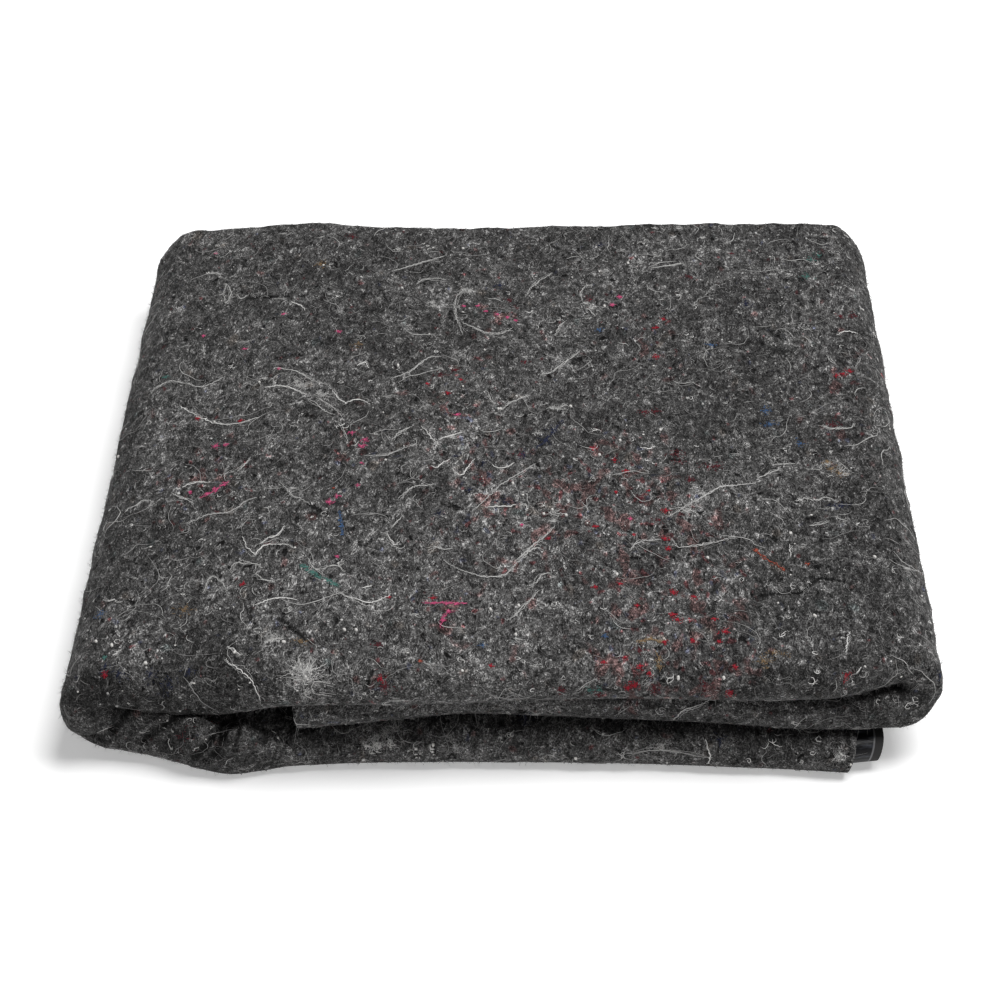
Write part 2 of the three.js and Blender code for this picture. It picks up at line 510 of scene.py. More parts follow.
@dataclass(frozen=True)
class FeltFinish(Finish):
    """Needled recycled fibre: mottled greys, fine pale and dark fibres, black pits and stray dyed fibre, with
    painted shade and highlights along its creases and in broad patches.
    """

    albedo: float = 0.0505
    tint: Colour = (1.0, 0.985, 0.975)
    tones: tuple[Tone, ...] = (Tone(30.0, 0.6), Tone(13.0, 1.0), Tone(6.0, 1.1))
    grain: tuple[Tone, ...] = (Tone(2.6, 1.3), Tone(1.2, 1.4), Tone(0.55, 2.8))
    strands: tuple[Strand, ...] = (
        Strand(0.75, 12.0, 1.2, 0.06, 1.1),
        Strand(2.4, 13.0, 1.3, 0.06, 1.1),
        Strand(1.4, 11.0, 1.3, 0.06, 1.1),
        Strand(0.1, 12.0, 1.2, 0.06, 1.0),
        Strand(1.1, 11.0, 1.2, 0.07, -1.3),
        Strand(2.0, 11.0, 1.2, 0.07, -1.3),
    )
    dyes: tuple[Dye, ...] = (
        Dye((1.1, 0.45, 0.47), 4.2, 0.745, 0.1),
        Dye((1.1, 0.7, 0.68), 7.0, 0.74, 0.15),
        Dye((0.66, 0.7, 0.95), 4.5, 0.74, 0.06),
        Dye((1.08, 0.98, 0.9), 9.0, 0.72, 0.06),
        Dye((0.9, 1.0, 0.99), 8.0, 0.74, 0.02),
    )
    # painted shade along the creases of the upper side and the wrinkles of the front-left, and painted
    # highlights on the ridges beside them
    cracks: tuple[PaintedCreaseLine, ...] = (
        PaintedCreaseLine((-95, -148, 54), (-88, -156, 54), 1.8, -2.2),
        PaintedCreaseLine((-88, -156, 54), (-80.5, -165, 54), 1.8, -2.2),
        PaintedCreaseLine((111.5, -129, 54), (129, -127, 54), 1.6, -2.4),
        PaintedCreaseLine((128, -127.5, 54), (138, -118, 54), 1.8, -2.4),
        PaintedCreaseLine((138, -118, 54), (149, -120, 54), 1.4, -1.8),
        PaintedCreaseLine((-88, -66, 54), (-80, -73, 54), 1.8, -2.0),
        PaintedCreaseLine((-132, 119, 52), (-112, 118, 54), 1.6, -1.8),
        PaintedCreaseLine((-155, -181.5, 31), (-160, -181.5, 26), 2.6, -2.2, FRONT_LIE),
        PaintedCreaseLine((-160, -181.5, 26), (-166, -178.5, 16.5), 2.4, -2.2, FRONT_LIE),
        PaintedCreaseLine((-137, -184, 27.5), (-142, -185.5, 25), 2.4, -2.2, FRONT_LIE),
        PaintedCreaseLine((-142, -185.5, 25), (-153, -181, 12), 2.2, -2.2, FRONT_LIE),
        PaintedCreaseLine((-117, -182.5, 24), (-121.5, -190.5, 22.5), 2.2, -2.8, FRONT_LIE),
        PaintedCreaseLine((-121.5, -190.5, 22.5), (-130, -191, 11.5), 2.4, -2.8, FRONT_LIE),
        PaintedCreaseLine((-113, -178, 23), (-117, -190.5, 23), 2.0, -2.6, FRONT_LIE),
        PaintedCreaseLine((-117, -190.5, 23), (-122, -192, 13.5), 2.2, -2.6, FRONT_LIE),
        PaintedCreaseLine((-110, -189, 25.5), (-112.5, -193, 21), 1.8, -1.8, FRONT_LIE),
        PaintedCreaseLine((-119.5, -190.5, 21.5), (-125.5, -191, 14), 1.6, 1.0, FRONT_LIE),
        PaintedCreaseLine((-125, -190, 26), (-132.5, -191, 15), 2.6, 0.7, FRONT_LIE),
        PaintedCreaseLine((-148, -184, 24), (-156, -182, 15), 2.4, 0.7, FRONT_LIE),
    )
    clouding: float = 1.0
    lay: Point = (1.0, 1.65, 1.0)
    bend: float = 3.2
    bend_length: float = 5.0
    waver: float = 2.4
    cover_length: float = 3.2
    cover_shift: Span = (20.0, 50.0)
    covered: Span = (0.42, 0.62)
    pit_length: float = 4.2
    pitted: Span = (0.63, 0.74)
    pit: float = -2.6
    dye_shift: float = 90.0
    dye_edge: Span = (0.04, 0.06)
    lightest: float = 0.6
    relief: float = 0.0006
    relief_share: float = 0.3

    def strand(self, nodes: Nodes, place: Wire, row: Strand) -> Wire:
        """Thin curled lines of fibre, from a level of a stretched noise.

        Args:
            nodes: The material's nodes.
            place: The warped place in mm.
            row: The set of lines.

        Returns:
            1 on a fibre and 0 between them.
        """
        spot = {"Location": (row.length * 31, row.pitch * 17, 5.0), "Rotation": (0.06, 0.05, row.angle)}
        spot["Scale"] = (row.length, row.pitch, row.pitch)
        lie = nodes.add("ShaderNodeMapping", {"vector_type": "TEXTURE"}, {"Vector": place, **spot})
        return 1 - abs(nodes.noise(lie, 1.0, 1.0) - 0.5).between(0.0, row.width)

    def crack(self, nodes: Nodes, place: Wire, row: PaintedCreaseLine) -> Wire:
        """A thin line with soft edges.

        Args:
            nodes: The material's nodes.
            place: The place in mm, wavering a little.
            row: The line.

        Returns:
            1 on the line and 0 away from it.
        """
        a, b = Vector(row.start), Vector(row.end)
        way = (b - a) / (b - a).length_squared
        from_start = nodes.shifted(place, tuple(-a))
        share = nodes.vector("DOT_PRODUCT", from_start, tuple(way), out="Value")
        nearest = nodes.scaled(tuple(a - b), share.math("MAXIMUM", 0.0).math("MINIMUM", 1.0))
        away = nodes.vector("MULTIPLY", nodes.shifted(from_start, nearest), row.lie)
        return 1 - nodes.vector("LENGTH", away, out="Value").between(0.0, row.width)

    def mottled(self, nodes: Nodes, place: Wire, tones: Sequence[Tone]) -> Wire:
        """Sum of noises of several wave lengths, about zero."""
        return sum((nodes.noise(place, row.length, 0.0) - 0.5) * row.weight for row in tones)

    def fibres(self, nodes: Nodes, mm: Wire, curl: Wire) -> Wire:
        """Height of the grain, the fine fibres and the pits.

        Args:
            nodes: The material's nodes.
            mm: The place in mm, drawn out along the felt's lay.
            curl: How the fibres bend there.

        Returns:
            The height, which also counts in the tone.
        """
        warped = nodes.shifted(mm, nodes.scaled(curl, self.bend))
        height = self.mottled(nodes, mm, self.grain)
        first, step = self.cover_shift
        for k, row in enumerate(self.strands):
            apart = nodes.shifted(mm, (first + step * k, 0.0, 0.0))
            cover = nodes.noise(apart, self.cover_length, 1.0).between(*self.covered)
            height = height + self.strand(nodes, warped, row) * cover * row.weight
        pit = nodes.noise(warped, self.pit_length, 2.0, 0.6).between(*self.pitted)
        return height + pit * self.pit

    def tinted(self, nodes: Nodes, mm: Wire) -> Wire:
        """The fibre's tint, dyed here and there.

        Args:
            nodes: The material's nodes.
            mm: The place in mm, drawn out along the felt's lay.

        Returns:
            The tint, near white where the fibre is plain.
        """
        dyed = nodes.attribute("dyed")
        tint: Wire | Colour = self.tint
        below, above = self.dye_edge
        for k, dye in enumerate(self.dyes):
            apart = nodes.shifted(mm, (self.dye_shift * (k + 1), 0.0, 0.0))
            lot = nodes.noise(apart, dye.length, 1.0) + dyed * dye.gather
            tint = nodes.mix(lot.between(dye.rarity - below, dye.rarity + above), tint, dye.tint)
        return tint

    def paint(self, nodes: Nodes, shader: Node) -> None:
        """Adds the fibres' colour and relief.

        Args:
            nodes: The material's nodes.
            shader: The shader to feed.
        """
        true_mm = self.millimetres(nodes)
        mm = nodes.stretched(true_mm, self.lay)
        turns = {"Vector": mm, "Scale": 1 / self.bend_length, "Detail": 2.0}
        curl = nodes.add("ShaderNodeTexNoise", None, turns, out="Color")
        height = self.fibres(nodes, mm, curl)
        # the cloud attribute adds broad patches, partly the felt's own tone and partly painted light and
        # shade
        tone = self.mottled(nodes, mm, self.tones) + height + nodes.attribute("cloud") * self.clouding
        waver = nodes.scaled(nodes.shifted(curl, (-0.5, -0.5, -0.5)), self.waver)
        wavering = nodes.shifted(true_mm, waver)
        # paints shade into the creases and highlights onto the ridges beside them
        for row in self.cracks:
            tone = tone + self.crack(nodes, wavering, row) * row.weight
        shade = (tone.math("EXPONENT") * self.albedo).math("MINIMUM", self.lightest)
        colour = nodes.mix(shade, (0.0, 0.0, 0.0), self.tinted(nodes, mm))
        nodes.feed(shader.inputs["Base Color"], colour)
        nodes.bump(shader, height * self.relief_share, self.relief, 1.0)


@dataclass(frozen=True)
class FilmFinish(Finish):
    """Thin black film, glossy and finely puckered, that stops short of the cut ends."""

    colour: Colour = (0.006, 0.006, 0.007)
    # painted blue-grey highlight streaks of the film, mixed in where its crinkle noise is high
    streak: Colour = (0.05, 0.054, 0.064)
    bare: Colour = (0.03, 0.029, 0.029)
    # painted highlight along the film's edge, where the bare margin begins
    rim: Colour = (0.16, 0.16, 0.165)
    margin: float = 4.0
    margin_blur: float = 0.2
    rim_width: float = 0.5
    rim_weight: float = 0.8
    drawn: Point = (9.0, 2.0, 1.2)
    streaked: Span = (0.5, 0.7)
    gloss: float = 0.24
    dulled: float = 0.2
    bare_dulled: float = 0.5
    pucker: float = 0.0005

    def paint(self, nodes: Nodes, shader: Node) -> None:
        """Adds the bare margin, a painted highlight along the film's edge, its streaky gloss with painted
        blue-grey highlight streaks, and its puckers.

        Args:
            nodes: The material's nodes.
            shader: The shader to feed.
        """
        left = nodes.attribute("from_end") / MM
        bare = 1 - left.between(self.margin - self.margin_blur, self.margin)
        # a thin band at the film's edge that takes the painted highlight
        edge = 1 - abs(left - self.margin).between(self.rim_width / 2, self.rim_width)
        crinkle = nodes.noise(nodes.stretched(self.millimetres(nodes), self.drawn), 1.0, 3.0, 0.6)
        # paints blue-grey highlight streaks into the film's colour
        film = nodes.mix(crinkle.between(*self.streaked), self.colour, self.streak)
        plain = nodes.mix(bare, film, self.bare)
        nodes.feed(shader.inputs["Base Color"], nodes.mix(edge * self.rim_weight, plain, self.rim))
        nodes.feed(shader.inputs["Roughness"], crinkle * self.dulled + bare * self.bare_dulled + self.gloss)
        nodes.bump(shader, crinkle, self.pucker, 0.5)


@dataclass(frozen=True)
class FibreFinish(Finish):
    """One tone of loose fibre."""

    colour: Colour = (0.5, 0.5, 0.5)

    def paint(self, nodes: Nodes, shader: Node) -> None:
        """Sets the fibre's colour on the shader's own socket."""
        shader.inputs["Base Color"].default_value = (*self.colour, 1.0)


@dataclass(frozen=True)
class FloorFinish(Finish):
    """Pale seamless paper, lit from behind a little."""

    colour: Colour = (0.82, 0.82, 0.82)
    glow: float = 0.36

    def paint(self, nodes: Nodes, shader: Node) -> None:
        """Sets the paper's colour and glow on the shader's own sockets."""
        shader.inputs["Base Color"].default_value = (*self.colour, 1.0)
        shader.inputs["Emission Color"].default_value = (1.0, 1.0, 1.0, 1.0)
        shader.inputs["Emission Strength"].default_value = self.glow


@dataclass
class Section:
    """Stations of the zigzag section, from one cut edge of the sheet to the other.

    v runs from the front to the back of the stack, n counts layers outwards from its middle, dy is the
    offset round a fold, face_y and face_n the way the felt looks, nest and mate the nested folds that a
    layer belongs to at the front and across the back, edge its back edge, and place rises along the sheet.
    """

    v: Array
    dy: Array
    n: Array
    face_y: Array
    face_n: Array
    nest: Array
    mate: Array
    edge: Array
    layer: Array
    place: Array


@dataclass
class Path:
    """Stations along the letter-folded strip, from the flap's end to the end of the bottom leg.

    x and z are the middle of the stack, nx and nz the way its outer side looks, share is 1 at a cut end
    and 0 where the end's slant begins, and angle runs round a turn.
    """

    stretch: Array
    x: Array
    z: Array
    nx: Array
    nz: Array
    height: Array
    front: Array
    angle: Array
    end: Array
    share: Array

    @property
    def place(self) -> Array:
        """Places along the strip, from 0 to 1."""
        run = np.hypot(np.diff(self.x), np.diff(self.z))
        place = np.concatenate([[0.0], np.cumsum(run)])
        return place / place[-1]

    @property
    def on_top(self) -> Array:
        """Which stations lie on the top leg or round a turn, as a column."""
        return np.isin(self.stretch, (Stretch.RIGHT_TURN, Stretch.TOP, Stretch.LEFT_TURN))[:, None]


class Grid(NamedTuple):
    """A face of the sheet or a part of one: its stations along the strip and across it, and its points."""

    path: Path
    section: Section
    points: Array


# the two rows of vertices along a rim, each with its rising places
Rim = tuple[Array, Array, Array, Array]

# broad pale and dark patches of the felt, partly its own tone and partly painted light and shade (darker
# towards the back, the right, the left end and the front-left corner, lighter along the middle of the front):
# place in mm, spread, strength, and height where it isn't on top
TONE_AND_SHADE_CLOUDS = (
    (0, 30, 70, 0.08), (0, -150, 50, -0.05), (0, 170, 90, -0.28), (-110, 160, 60, -0.1),
    (140, 20, 60, -0.25), (150, -110, 50, -0.1), (-185, -120, 30, -0.25, 40), (-170, -20, 50, -0.12, 46),
    (-150, -180, 25, -0.2, 44), (160, -182, 25, -0.2, 35), (130, -182, 25, -0.2, 20),
    (0, -188, 50, 0.12, 48), (0, -186, 60, 0.2, 12), (130, -175, 30, -0.1), (-100, 34, 13, 0.45),
    (-120, 45, 10, 0.25, 52), (-85, 25, 8, 0.3), (-141, 37, 11, 0.25, 50), (-123, 20, 12, 0.2, 52),
    (-164, 42, 10, 0.2, 48), (-30, -15, 11, 0.4), (-17, -9, 8, 0.3, 55), (-3, 14, 10, 0.35),
    (9, 35, 8, 0.3), (20, 57, 7, 0.25), (29, 81, 6, 0.2), (-34, 115, 11, 0.35, 53),
    (-20, 126, 7, 0.4, 53), (-47, 125, 7, 0.2, 53), (16, 103, 12, 0.3), (39, 110, 10, 0.35),
    (11, 127, 6, 0.3, 53), (68, 148, 13, 0.35), (52, 124, 7, 0.2), (146, 86, 11, 0.45, 55),
    (132, 95, 8, 0.2, 55), (61, 70, 9, 0.25, 55), (76, 85, 7, 0.2, 55), (68, -20, 10, 0.25),
    (40, -29, 8, 0.2), (84, -65, 9, 0.4), (96, -53, 8, 0.35), (110, -45, 8, 0.3), (127, -34, 9, 0.35),
    (155, -35, 7, 0.25), (-13, -69, 10, 0.3), (5, -67, 10, 0.35), (23, -72, 9, 0.35),
    (-94, -106, 9, 0.25), (-80, -120, 10, 0.35), (-66, -130, 10, 0.4), (-53, -135, 8, 0.3),
    (-79, -190, 7, 0.6, 49), (-83, -183, 6, 0.4), (-96, -163, 7, 0.5), (-176, -156, 8, 0.3, 44),
    (-160, -164, 11, 0.35, 48), (-149, -168, 8, 0.25, 49), (-18, -163, 8, 0.3), (65, -154, 9, 0.2),
    (44, -159, 8, 0.15), (-57, 166, 10, 0.25, 53), (-10, 49, 7, 0.2), (139, 2, 8, 0.2),
    (159, -104, 6, 0.25), (-30, -118, 10, 0.15), (-1, -117, 12, 0.15), (-145, 127, 7, 0.3, 51),
    (-115, 113, 7, 0.25), (-54, -181, 8, 0.35, 16), (-45, -183, 6, 0.25, 14), (-34, -189, 8, 0.2, 43),
    (100, 14, 17, -0.3), (119, 49, 15, -0.25, 55), (129, -11, 12, -0.2), (-74, 16, 9, -0.25),
    (-57, -1, 10, -0.25), (-175, -26, 15, -0.25, 45), (162, -59, 13, -0.3), (149, -93, 11, -0.25),
    (163, -133, 10, -0.15), (-154, -90, 13, -0.2, 49), (46, 53, 9, -0.25), (42, -4, 9, -0.25),
    (16, -13, 7, -0.3), (-161, 159, 13, -0.25, 50), (-130, 159, 12, -0.25, 53), (-95, 112, 10, -0.2, 55),
    (-77, 153, 9, -0.15), (-147, 94, 12, -0.2, 50), (-68, 85, 10, -0.15), (108, 114, 12, -0.3, 55),
    (126, 163, 13, -0.2, 55), (165, 134, 11, -0.25, 55), (170, 77, 8, -0.3, 55), (100, 174, 8, -0.2, 55),
    (-13, 77, 10, -0.15, 53), (-38, 77, 9, -0.2, 53), (-132, -125, 10, -0.15, 51),
    (-137, -159, 10, -0.25, 50), (-120, -175, 13, -0.35, 52), (-109, -183, 12, -0.4, 51),
    (-143, -181, 14, -0.35, 46), (-169, -178, 10, -0.35, 43), (-166, -100, 10, -0.15, 48),
    (-37, -85, 9, -0.15), (60, -106, 10, -0.15), (25, -128, 10, -0.1), (101, -161, 10, -0.15),
    (138, -168, 10, -0.15), (43, -95, 8, -0.15), (-81, -38, 10, -0.12), (-34, -62, 9, -0.2),
    (26, -37, 7, -0.25), (-120, -188, 22, -0.25, 36), (-165, -180, 12, -0.4, 25),
    (-140, -186, 14, -0.4, 20), (-122, -188, 12, -0.35, 15), (-172, -178, 10, -0.3, 35),
)

# broad patches with stray dyed fibre: place in mm, spread, and height where it isn't on top
DYED_AREAS = (
    (70, -76, 30), (77, -134, 30), (58, -175, 25), (-27, 21, 20), (-11, -54, 25), (-72, -22, 15),
    (-136, -41, 20, 50), (-25, -143, 15), (21, -76, 20), (49, -29, 20), (153, -2, 15), (164, 45, 12),
    (73, 76, 15, 55), (-4, 101, 12, 53), (-50, -188, 10, 50), (92, -162, 20),
)


@dataclass
class FoldedSheet:
    """The sheet on its folds: halved three times along its length, then folded like a letter. In mm."""

    flat_width: float = 1000.0
    flat_length: float = 3000.0
    thickness: float = 1.9
    layer_gap: float = 0.35
    leg_gap: float = 0.5
    halvings: int = 3
    width: float = 375.0
    depth: float = 375.0
    left_height: float = 48.0
    left_leg_height: float = 23.2
    end_slant: float = 0.25
    flap_end: float = -87.0
    flap_free: float = -60.0
    bottom_end: float = 149.0
    bottom_free: float = 138.0
    lift_from: float = -138.0
    lift: float = 3.0
    fold_ends: tuple[FoldEnd, ...] = (
        FoldEnd(-87, 149, 0),
        FoldEnd(-85, 161.8, 4.5),
        FoldEnd(-86, 159, 4.5),
        FoldEnd(-84, 157, 4.5),
    )
    back_reach: tuple[float, ...] = (-5, 0, -1, -0.4, 1)
    swells: tuple[Swell, ...] = (
        Swell(-120, 165, 48, 3.4),
        Swell(-25, 165, 70, -2.4),
        Swell(135, 140, 85, 1.8),
        Swell(-20, -70, 95, 1),
    )
    corners: tuple[Corner, ...] = (Corner(1, 1, 16), Corner(-1, 1, 14), Corner(1, -1, 9), Corner(-1, -1, 5))
    left_front: tuple[TurnCrease, ...] = (
        TurnCrease(1.6, 0.7, 3, 3.5, -6),
        TurnCrease(2.3, 0.35, 1, 2.6, 2.2),
    )
    creases: tuple[Crease, ...] = (
        Crease((-95, -148, 54), (-88, -156, 54), 1.6, 0.9),
        Crease((-88, -156, 54), (-80.5, -165, 54), 1.6, 0.9),
        Crease((111.5, -129, 54), (129, -127, 54), 1.5, 0.8),
        Crease((129, -127, 54), (138, -118, 54), 1.5, 0.9),
        Crease((138, -118, 54), (149, -120, 54), 1.5, 0.6),
        Crease((-88, -66, 54), (-80, -73, 54), 1.8, 0.7),
        Crease((-132, 119, 52), (-112, 118, 54), 1.8, 0.7),
        Crease((-170, -175, 23.5), (-110, -186, 23), 7.0, -6.5),
        Crease((-116, -177, 24), (-119, -187, 23.5), 2.6, 3.5),
        Crease((-119, -187, 23.5), (-125, -192, 13), 2.6, 4.0),
        Crease((-110, -176, 23), (-114, -187, 23.5), 2.4, 3.5),
        Crease((-114, -187, 23.5), (-120, -192, 15), 2.4, 4.0),
        Crease((-133, -180, 24), (-145, -187, 13), 2.6, 4.0),
        Crease((-164, -179, 19), (-174, -179, 12), 2.6, 4.0),
        Crease((-146, -182, 20), (-153, -183, 14), 2.6, 3.5),
        Crease((-119, -195, 9), (-100, -190, 7), 7.0, 1.3),
        Crease((-176, -176, 8), (-160, -181, 4), 8.0, -2.0),
        Crease((-110, 190, 55), (-70, 190, 53), 12.0, 1.2),
        Crease((184, -176, 24), (170, -182, 22), 8.0, 3.0),
    )
    tone_clouds: tuple[Cloud, ...] = tuple(Cloud(*row) for row in TONE_AND_SHADE_CLOUDS)
    dye_clouds: tuple[Cloud, ...] = tuple(Cloud(*row[:3], 1.0, *row[3:]) for row in DYED_AREAS)
    lumps: tuple[Lumps, ...] = (Lumps(26, 0.9, 2), Lumps(7, 0.5, 3))
    deepest: float = 1.3
    fine_step: float = 3.0
    coarse_step: float = 12.0
    turn_steps: int = 28
    coarse_turn_steps: int = 10
    end_steps: int = 6
    fold_steps: int = 10
    fine_folds: tuple[tuple[int, int], ...] = ((0, 18), (1, 12), (3, 8), (5, 8))
    cut_flats: tuple[float, ...] = (0.02, 0.06, 0.5, 0.95, 1.0)
    lip_flats: tuple[float, ...] = (0.005, 0.015, 0.03, 0.06, 0.12, 0.5, 0.95, 1.0)
    outer_flats: tuple[float, ...] = (0.005, 0.012, 0.02, 0.03, 0.04)
    outer_span: Span = (0.048, 0.985)
    flat_share: float = 0.9
    fold_share: float = 0.1
    front_share: float = 0.06
    lip_share: float = 0.12
    least_fringe: float = 0.06
    steepness: Span = (0.75, 0.97)
    lip_slope: Span = (0.0, 0.3)
    under_turn: Span = (1.6, 3.0)
    underside: Span = (-0.85, -0.2)
    cloud_draw: Point = (1.0, 0.6, 1.0)
    sharp_angle: float = 50.0
    map_room: tuple[float, ...] = (1.0, 2.0, 3.0, 2.0, 1.5)
    map_bands: tuple[Span, ...] = ((0.0, 0.78), (0.95, 0.965), (0.79, 0.94))
    map_rims: float = 0.97
    map_rim: float = 0.004
    map_ends: float = 4.0
    map_folds: float = 4.0
    map_hidden: float = 0.05

    @property
    def layers(self) -> int:
        """Layers in one leg."""
        return 2**self.halvings

    @property
    def pitch(self) -> float:
        """Distance between layers."""
        return self.thickness + self.layer_gap

    @property
    def leg_height(self) -> float:
        """Height of one leg."""
        return (self.layers - 1) * self.pitch + self.thickness

    @property
    def stack_height(self) -> float:
        """Height of the three legs."""
        return 3 * self.leg_height + 2 * self.leg_gap

    @property
    def right_turn_x(self) -> float:
        """Middle of the right turn."""
        return self.width / 2 - self.leg_height - self.leg_gap / 2

    @property
    def left_turn_x(self) -> float:
        """Middle of the left turn."""
        return self.left_height / 2 - self.width / 2

    def leg_rows(self, stretch: Stretch) -> list[LegRow]:
        """The table of one leg.

        Args:
            stretch: Which leg.

        Returns:
            A row for each place along X where the leg changes.
        """
        leg, top, left, right = self.leg_height, self.stack_height, self.left_turn_x, self.right_turn_x
        if stretch is Stretch.FLAP:
            ends = ((self.flap_end, -3.5), (right, 0))
            fronts = (ends[0], (-42, 3), (-14, 7), (48, 4.5), (86, 2.5), (132, -1.5), ends[1])
            return [LegRow(x, leg + self.leg_gap, leg, front) for x, front in fronts]
        if stretch is Stretch.TOP:
            flat = ((-90, -10.5), (-42, -9), (43, -4.2), (138, -3), (right, 8))
            return [
                LegRow(left, self.left_height, self.left_leg_height, 1),
                LegRow(-145, 49.2, 24, -2),
                LegRow(-118, 51.8, 25.2, -5),
                LegRow(-102, 53.3, 20.8, -8.5),
                *[LegRow(x, top, leg, front) for x, front in flat],
            ]
        flat = ((-90, -7), (-45, -4), (45, -3.5), (112, -6), (self.bottom_end, -8.5))
        return [
            LegRow(left, 0, self.left_leg_height, 1),
            LegRow(-145, 0, 24, -3.5),
            LegRow(-118, 0, 24, -13),
            LegRow(-102, 0, 20.4, -10.5),
            *[LegRow(x, 0, leg, front) for x, front in flat],
        ]

    def folded_stack(self) -> list[int]:
        """Folds the sheet's layers up by halving.

        Returns:
            The layers from the inner to the outer side of the stack, numbered along the sheet.
        """
        columns = [[layer] for layer in range(self.layers)]
        while len(columns) > 1:
            half = len(columns) // 2
            columns = [columns[i] + columns[-1 - i][::-1] for i in range(half)]
        return columns[0]

    def section(self, flats: dict[int, Sequence[float]], folds: dict[int, int]) -> Section:
        """Stations of the zigzag section.

        Args:
            flats: Places v of a layer's flat part from front to back, where it has its own.
            folds: Steps round the fold after a layer, where it has its own.

        Returns:
            The stations.
        """
        stack = self.folded_stack()
        middle = (self.layers - 1) / 2
        level = [stack.index(layer) - middle for layer in range(self.layers)]
        nest = [math.floor(middle - abs(n) + 0.5) for n in level]
        rows = []
        for layer in range(self.layers):
            odd = layer % 2 == 1
            side = 1 if odd else -1
            mate = min(max(layer + side, 0), self.layers - 1)
            edge = (layer + 1) // 2
            steps = list(flats.get(layer, self.cut_flats[:-1]))
            for v in steps if odd else steps[::-1]:
                place = layer + self.flat_share * (v if odd else 1 - v)
                nests = nest[layer], nest[mate]
                rows.append((v, 0.0, level[layer], 0.0, float(side), *nests, edge, layer, place))
            if layer == self.layers - 1:
                break
            centre = (level[layer] + level[layer + 1]) / 2
            arm = level[layer] - centre
            felt = math.copysign(1, arm) * side
            count = folds.get(layer, self.fold_steps)
            for i in range(count + 1):
                angle = math.pi * i / count
                rows.append((
                    float(odd),
                    side * abs(arm) * self.pitch * math.sin(angle),
                    centre + arm * math.cos(angle),
                    felt * side * math.sin(angle),
                    felt * math.copysign(1, arm) * math.cos(angle),
                    nest[layer],
                    nest[layer + 1],
                    edge,
                    layer + 0.5,
                    layer + self.flat_share + self.fold_share * i / count,
                ))
        return Section(*(np.array(column) for column in zip(*rows)))

    def leg(self, stretch: Stretch, x: Array, end: End = End.NONE, share: Array | int = 0) -> Path:
        """Stations along one leg.

        Args:
            stretch: Which leg.
            x: Places along it, in the strip's order.
            end: The cut end that they lead to.
            share: How near each is to that end.

        Returns:
            The stations.
        """
        rows = self.leg_rows(stretch)
        out = 1 if stretch is Stretch.TOP else -1
        height = along(rows, "height", x)
        none = np.zeros(len(x))
        return Path(
            stretch=none + stretch, x=x, z=along(rows, "face", x) - out * height / 2,
            nx=none, nz=none + out, height=height, front=along(rows, "front", x),
            angle=none, end=none + end, share=none + share,
        )

    def turn(self, stretch: Stretch, before: Path, after: Path, steps: int) -> Path:
        """Stations round a turn.

        Args:
            stretch: Which turn.
            before: The leg that leads to it.
            after: The leg that it leads to.
            steps: Steps round it.

        Returns:
            The stations.
        """
        share = np.arange(1, steps) / steps
        angle = math.pi * share
        side, about = (1, self.right_turn_x) if stretch is Stretch.RIGHT_TURN else (-1, self.left_turn_x)
        z0, z1 = before.z[-1], after.z[0]
        radius = abs(z1 - z0) / 2
        nx = side * np.sin(angle)
        nz = before.nz[-1] * np.cos(angle)
        none = np.zeros(len(share))
        return Path(
            stretch=none + stretch, x=about + nx * radius, z=(z0 + z1) / 2 + nz * radius, nx=nx, nz=nz,
            height=before.height[-1] * (1 - share) + after.height[0] * share,
            front=before.front[-1] * (1 - share) + after.front[0] * share,
            angle=angle, end=none + End.NONE, share=none,
        )

    def path(self, step: float, turn_steps: int) -> Path:
        """Stations along the strip.

        Args:
            step: Distance along the legs.
            turn_steps: Steps round each turn.

        Returns:
            The stations.
        """
        near = np.linspace(0, 1, self.end_steps + 1)[1:]
        flap_x = self.flap_free + (self.flap_end - self.flap_free) * near[::-1]
        bottom_x = self.bottom_free + (self.bottom_end - self.bottom_free) * near
        left, right = self.left_turn_x, self.right_turn_x
        flap = self.leg(Stretch.FLAP, evenly(self.flap_free, right, step))
        top = self.leg(Stretch.TOP, evenly(right, left, step))
        bottom = self.leg(Stretch.BOTTOM, evenly(left, self.bottom_free, step))
        parts = (
            self.leg(Stretch.FLAP, flap_x, End.FLAP, near[::-1]),
            flap,
            self.turn(Stretch.RIGHT_TURN, flap, top, turn_steps),
            top,
            self.turn(Stretch.LEFT_TURN, top, bottom, turn_steps),
            bottom,
            self.leg(Stretch.BOTTOM, bottom_x, End.BOTTOM, near),
        )
        names = [field.name for field in fields(Path)]
        return Path(*(np.concatenate([getattr(part, name) for part in parts]) for name in names))

    def end_x(self, section: Section) -> dict[End, tuple[float, Array]]:
        """Finds where the layers end.

        Args:
            section: Stations across the sheet.

        Returns:
            For each cut end, where its slant begins along X and where each layer ends.
        """
        found = {}
        for end, free, way in ((End.FLAP, self.flap_free, 1), (End.BOTTOM, self.bottom_free, -1)):
            ends = np.array([row.flap if end is End.FLAP else row.bottom for row in self.fold_ends])
            own, joined = ends[section.nest], ends[section.mate]
            slant = self.end_slant * section.n * self.pitch * way
            found[end] = free, own + (joined - own) * section.v / 2 + slant
        return found

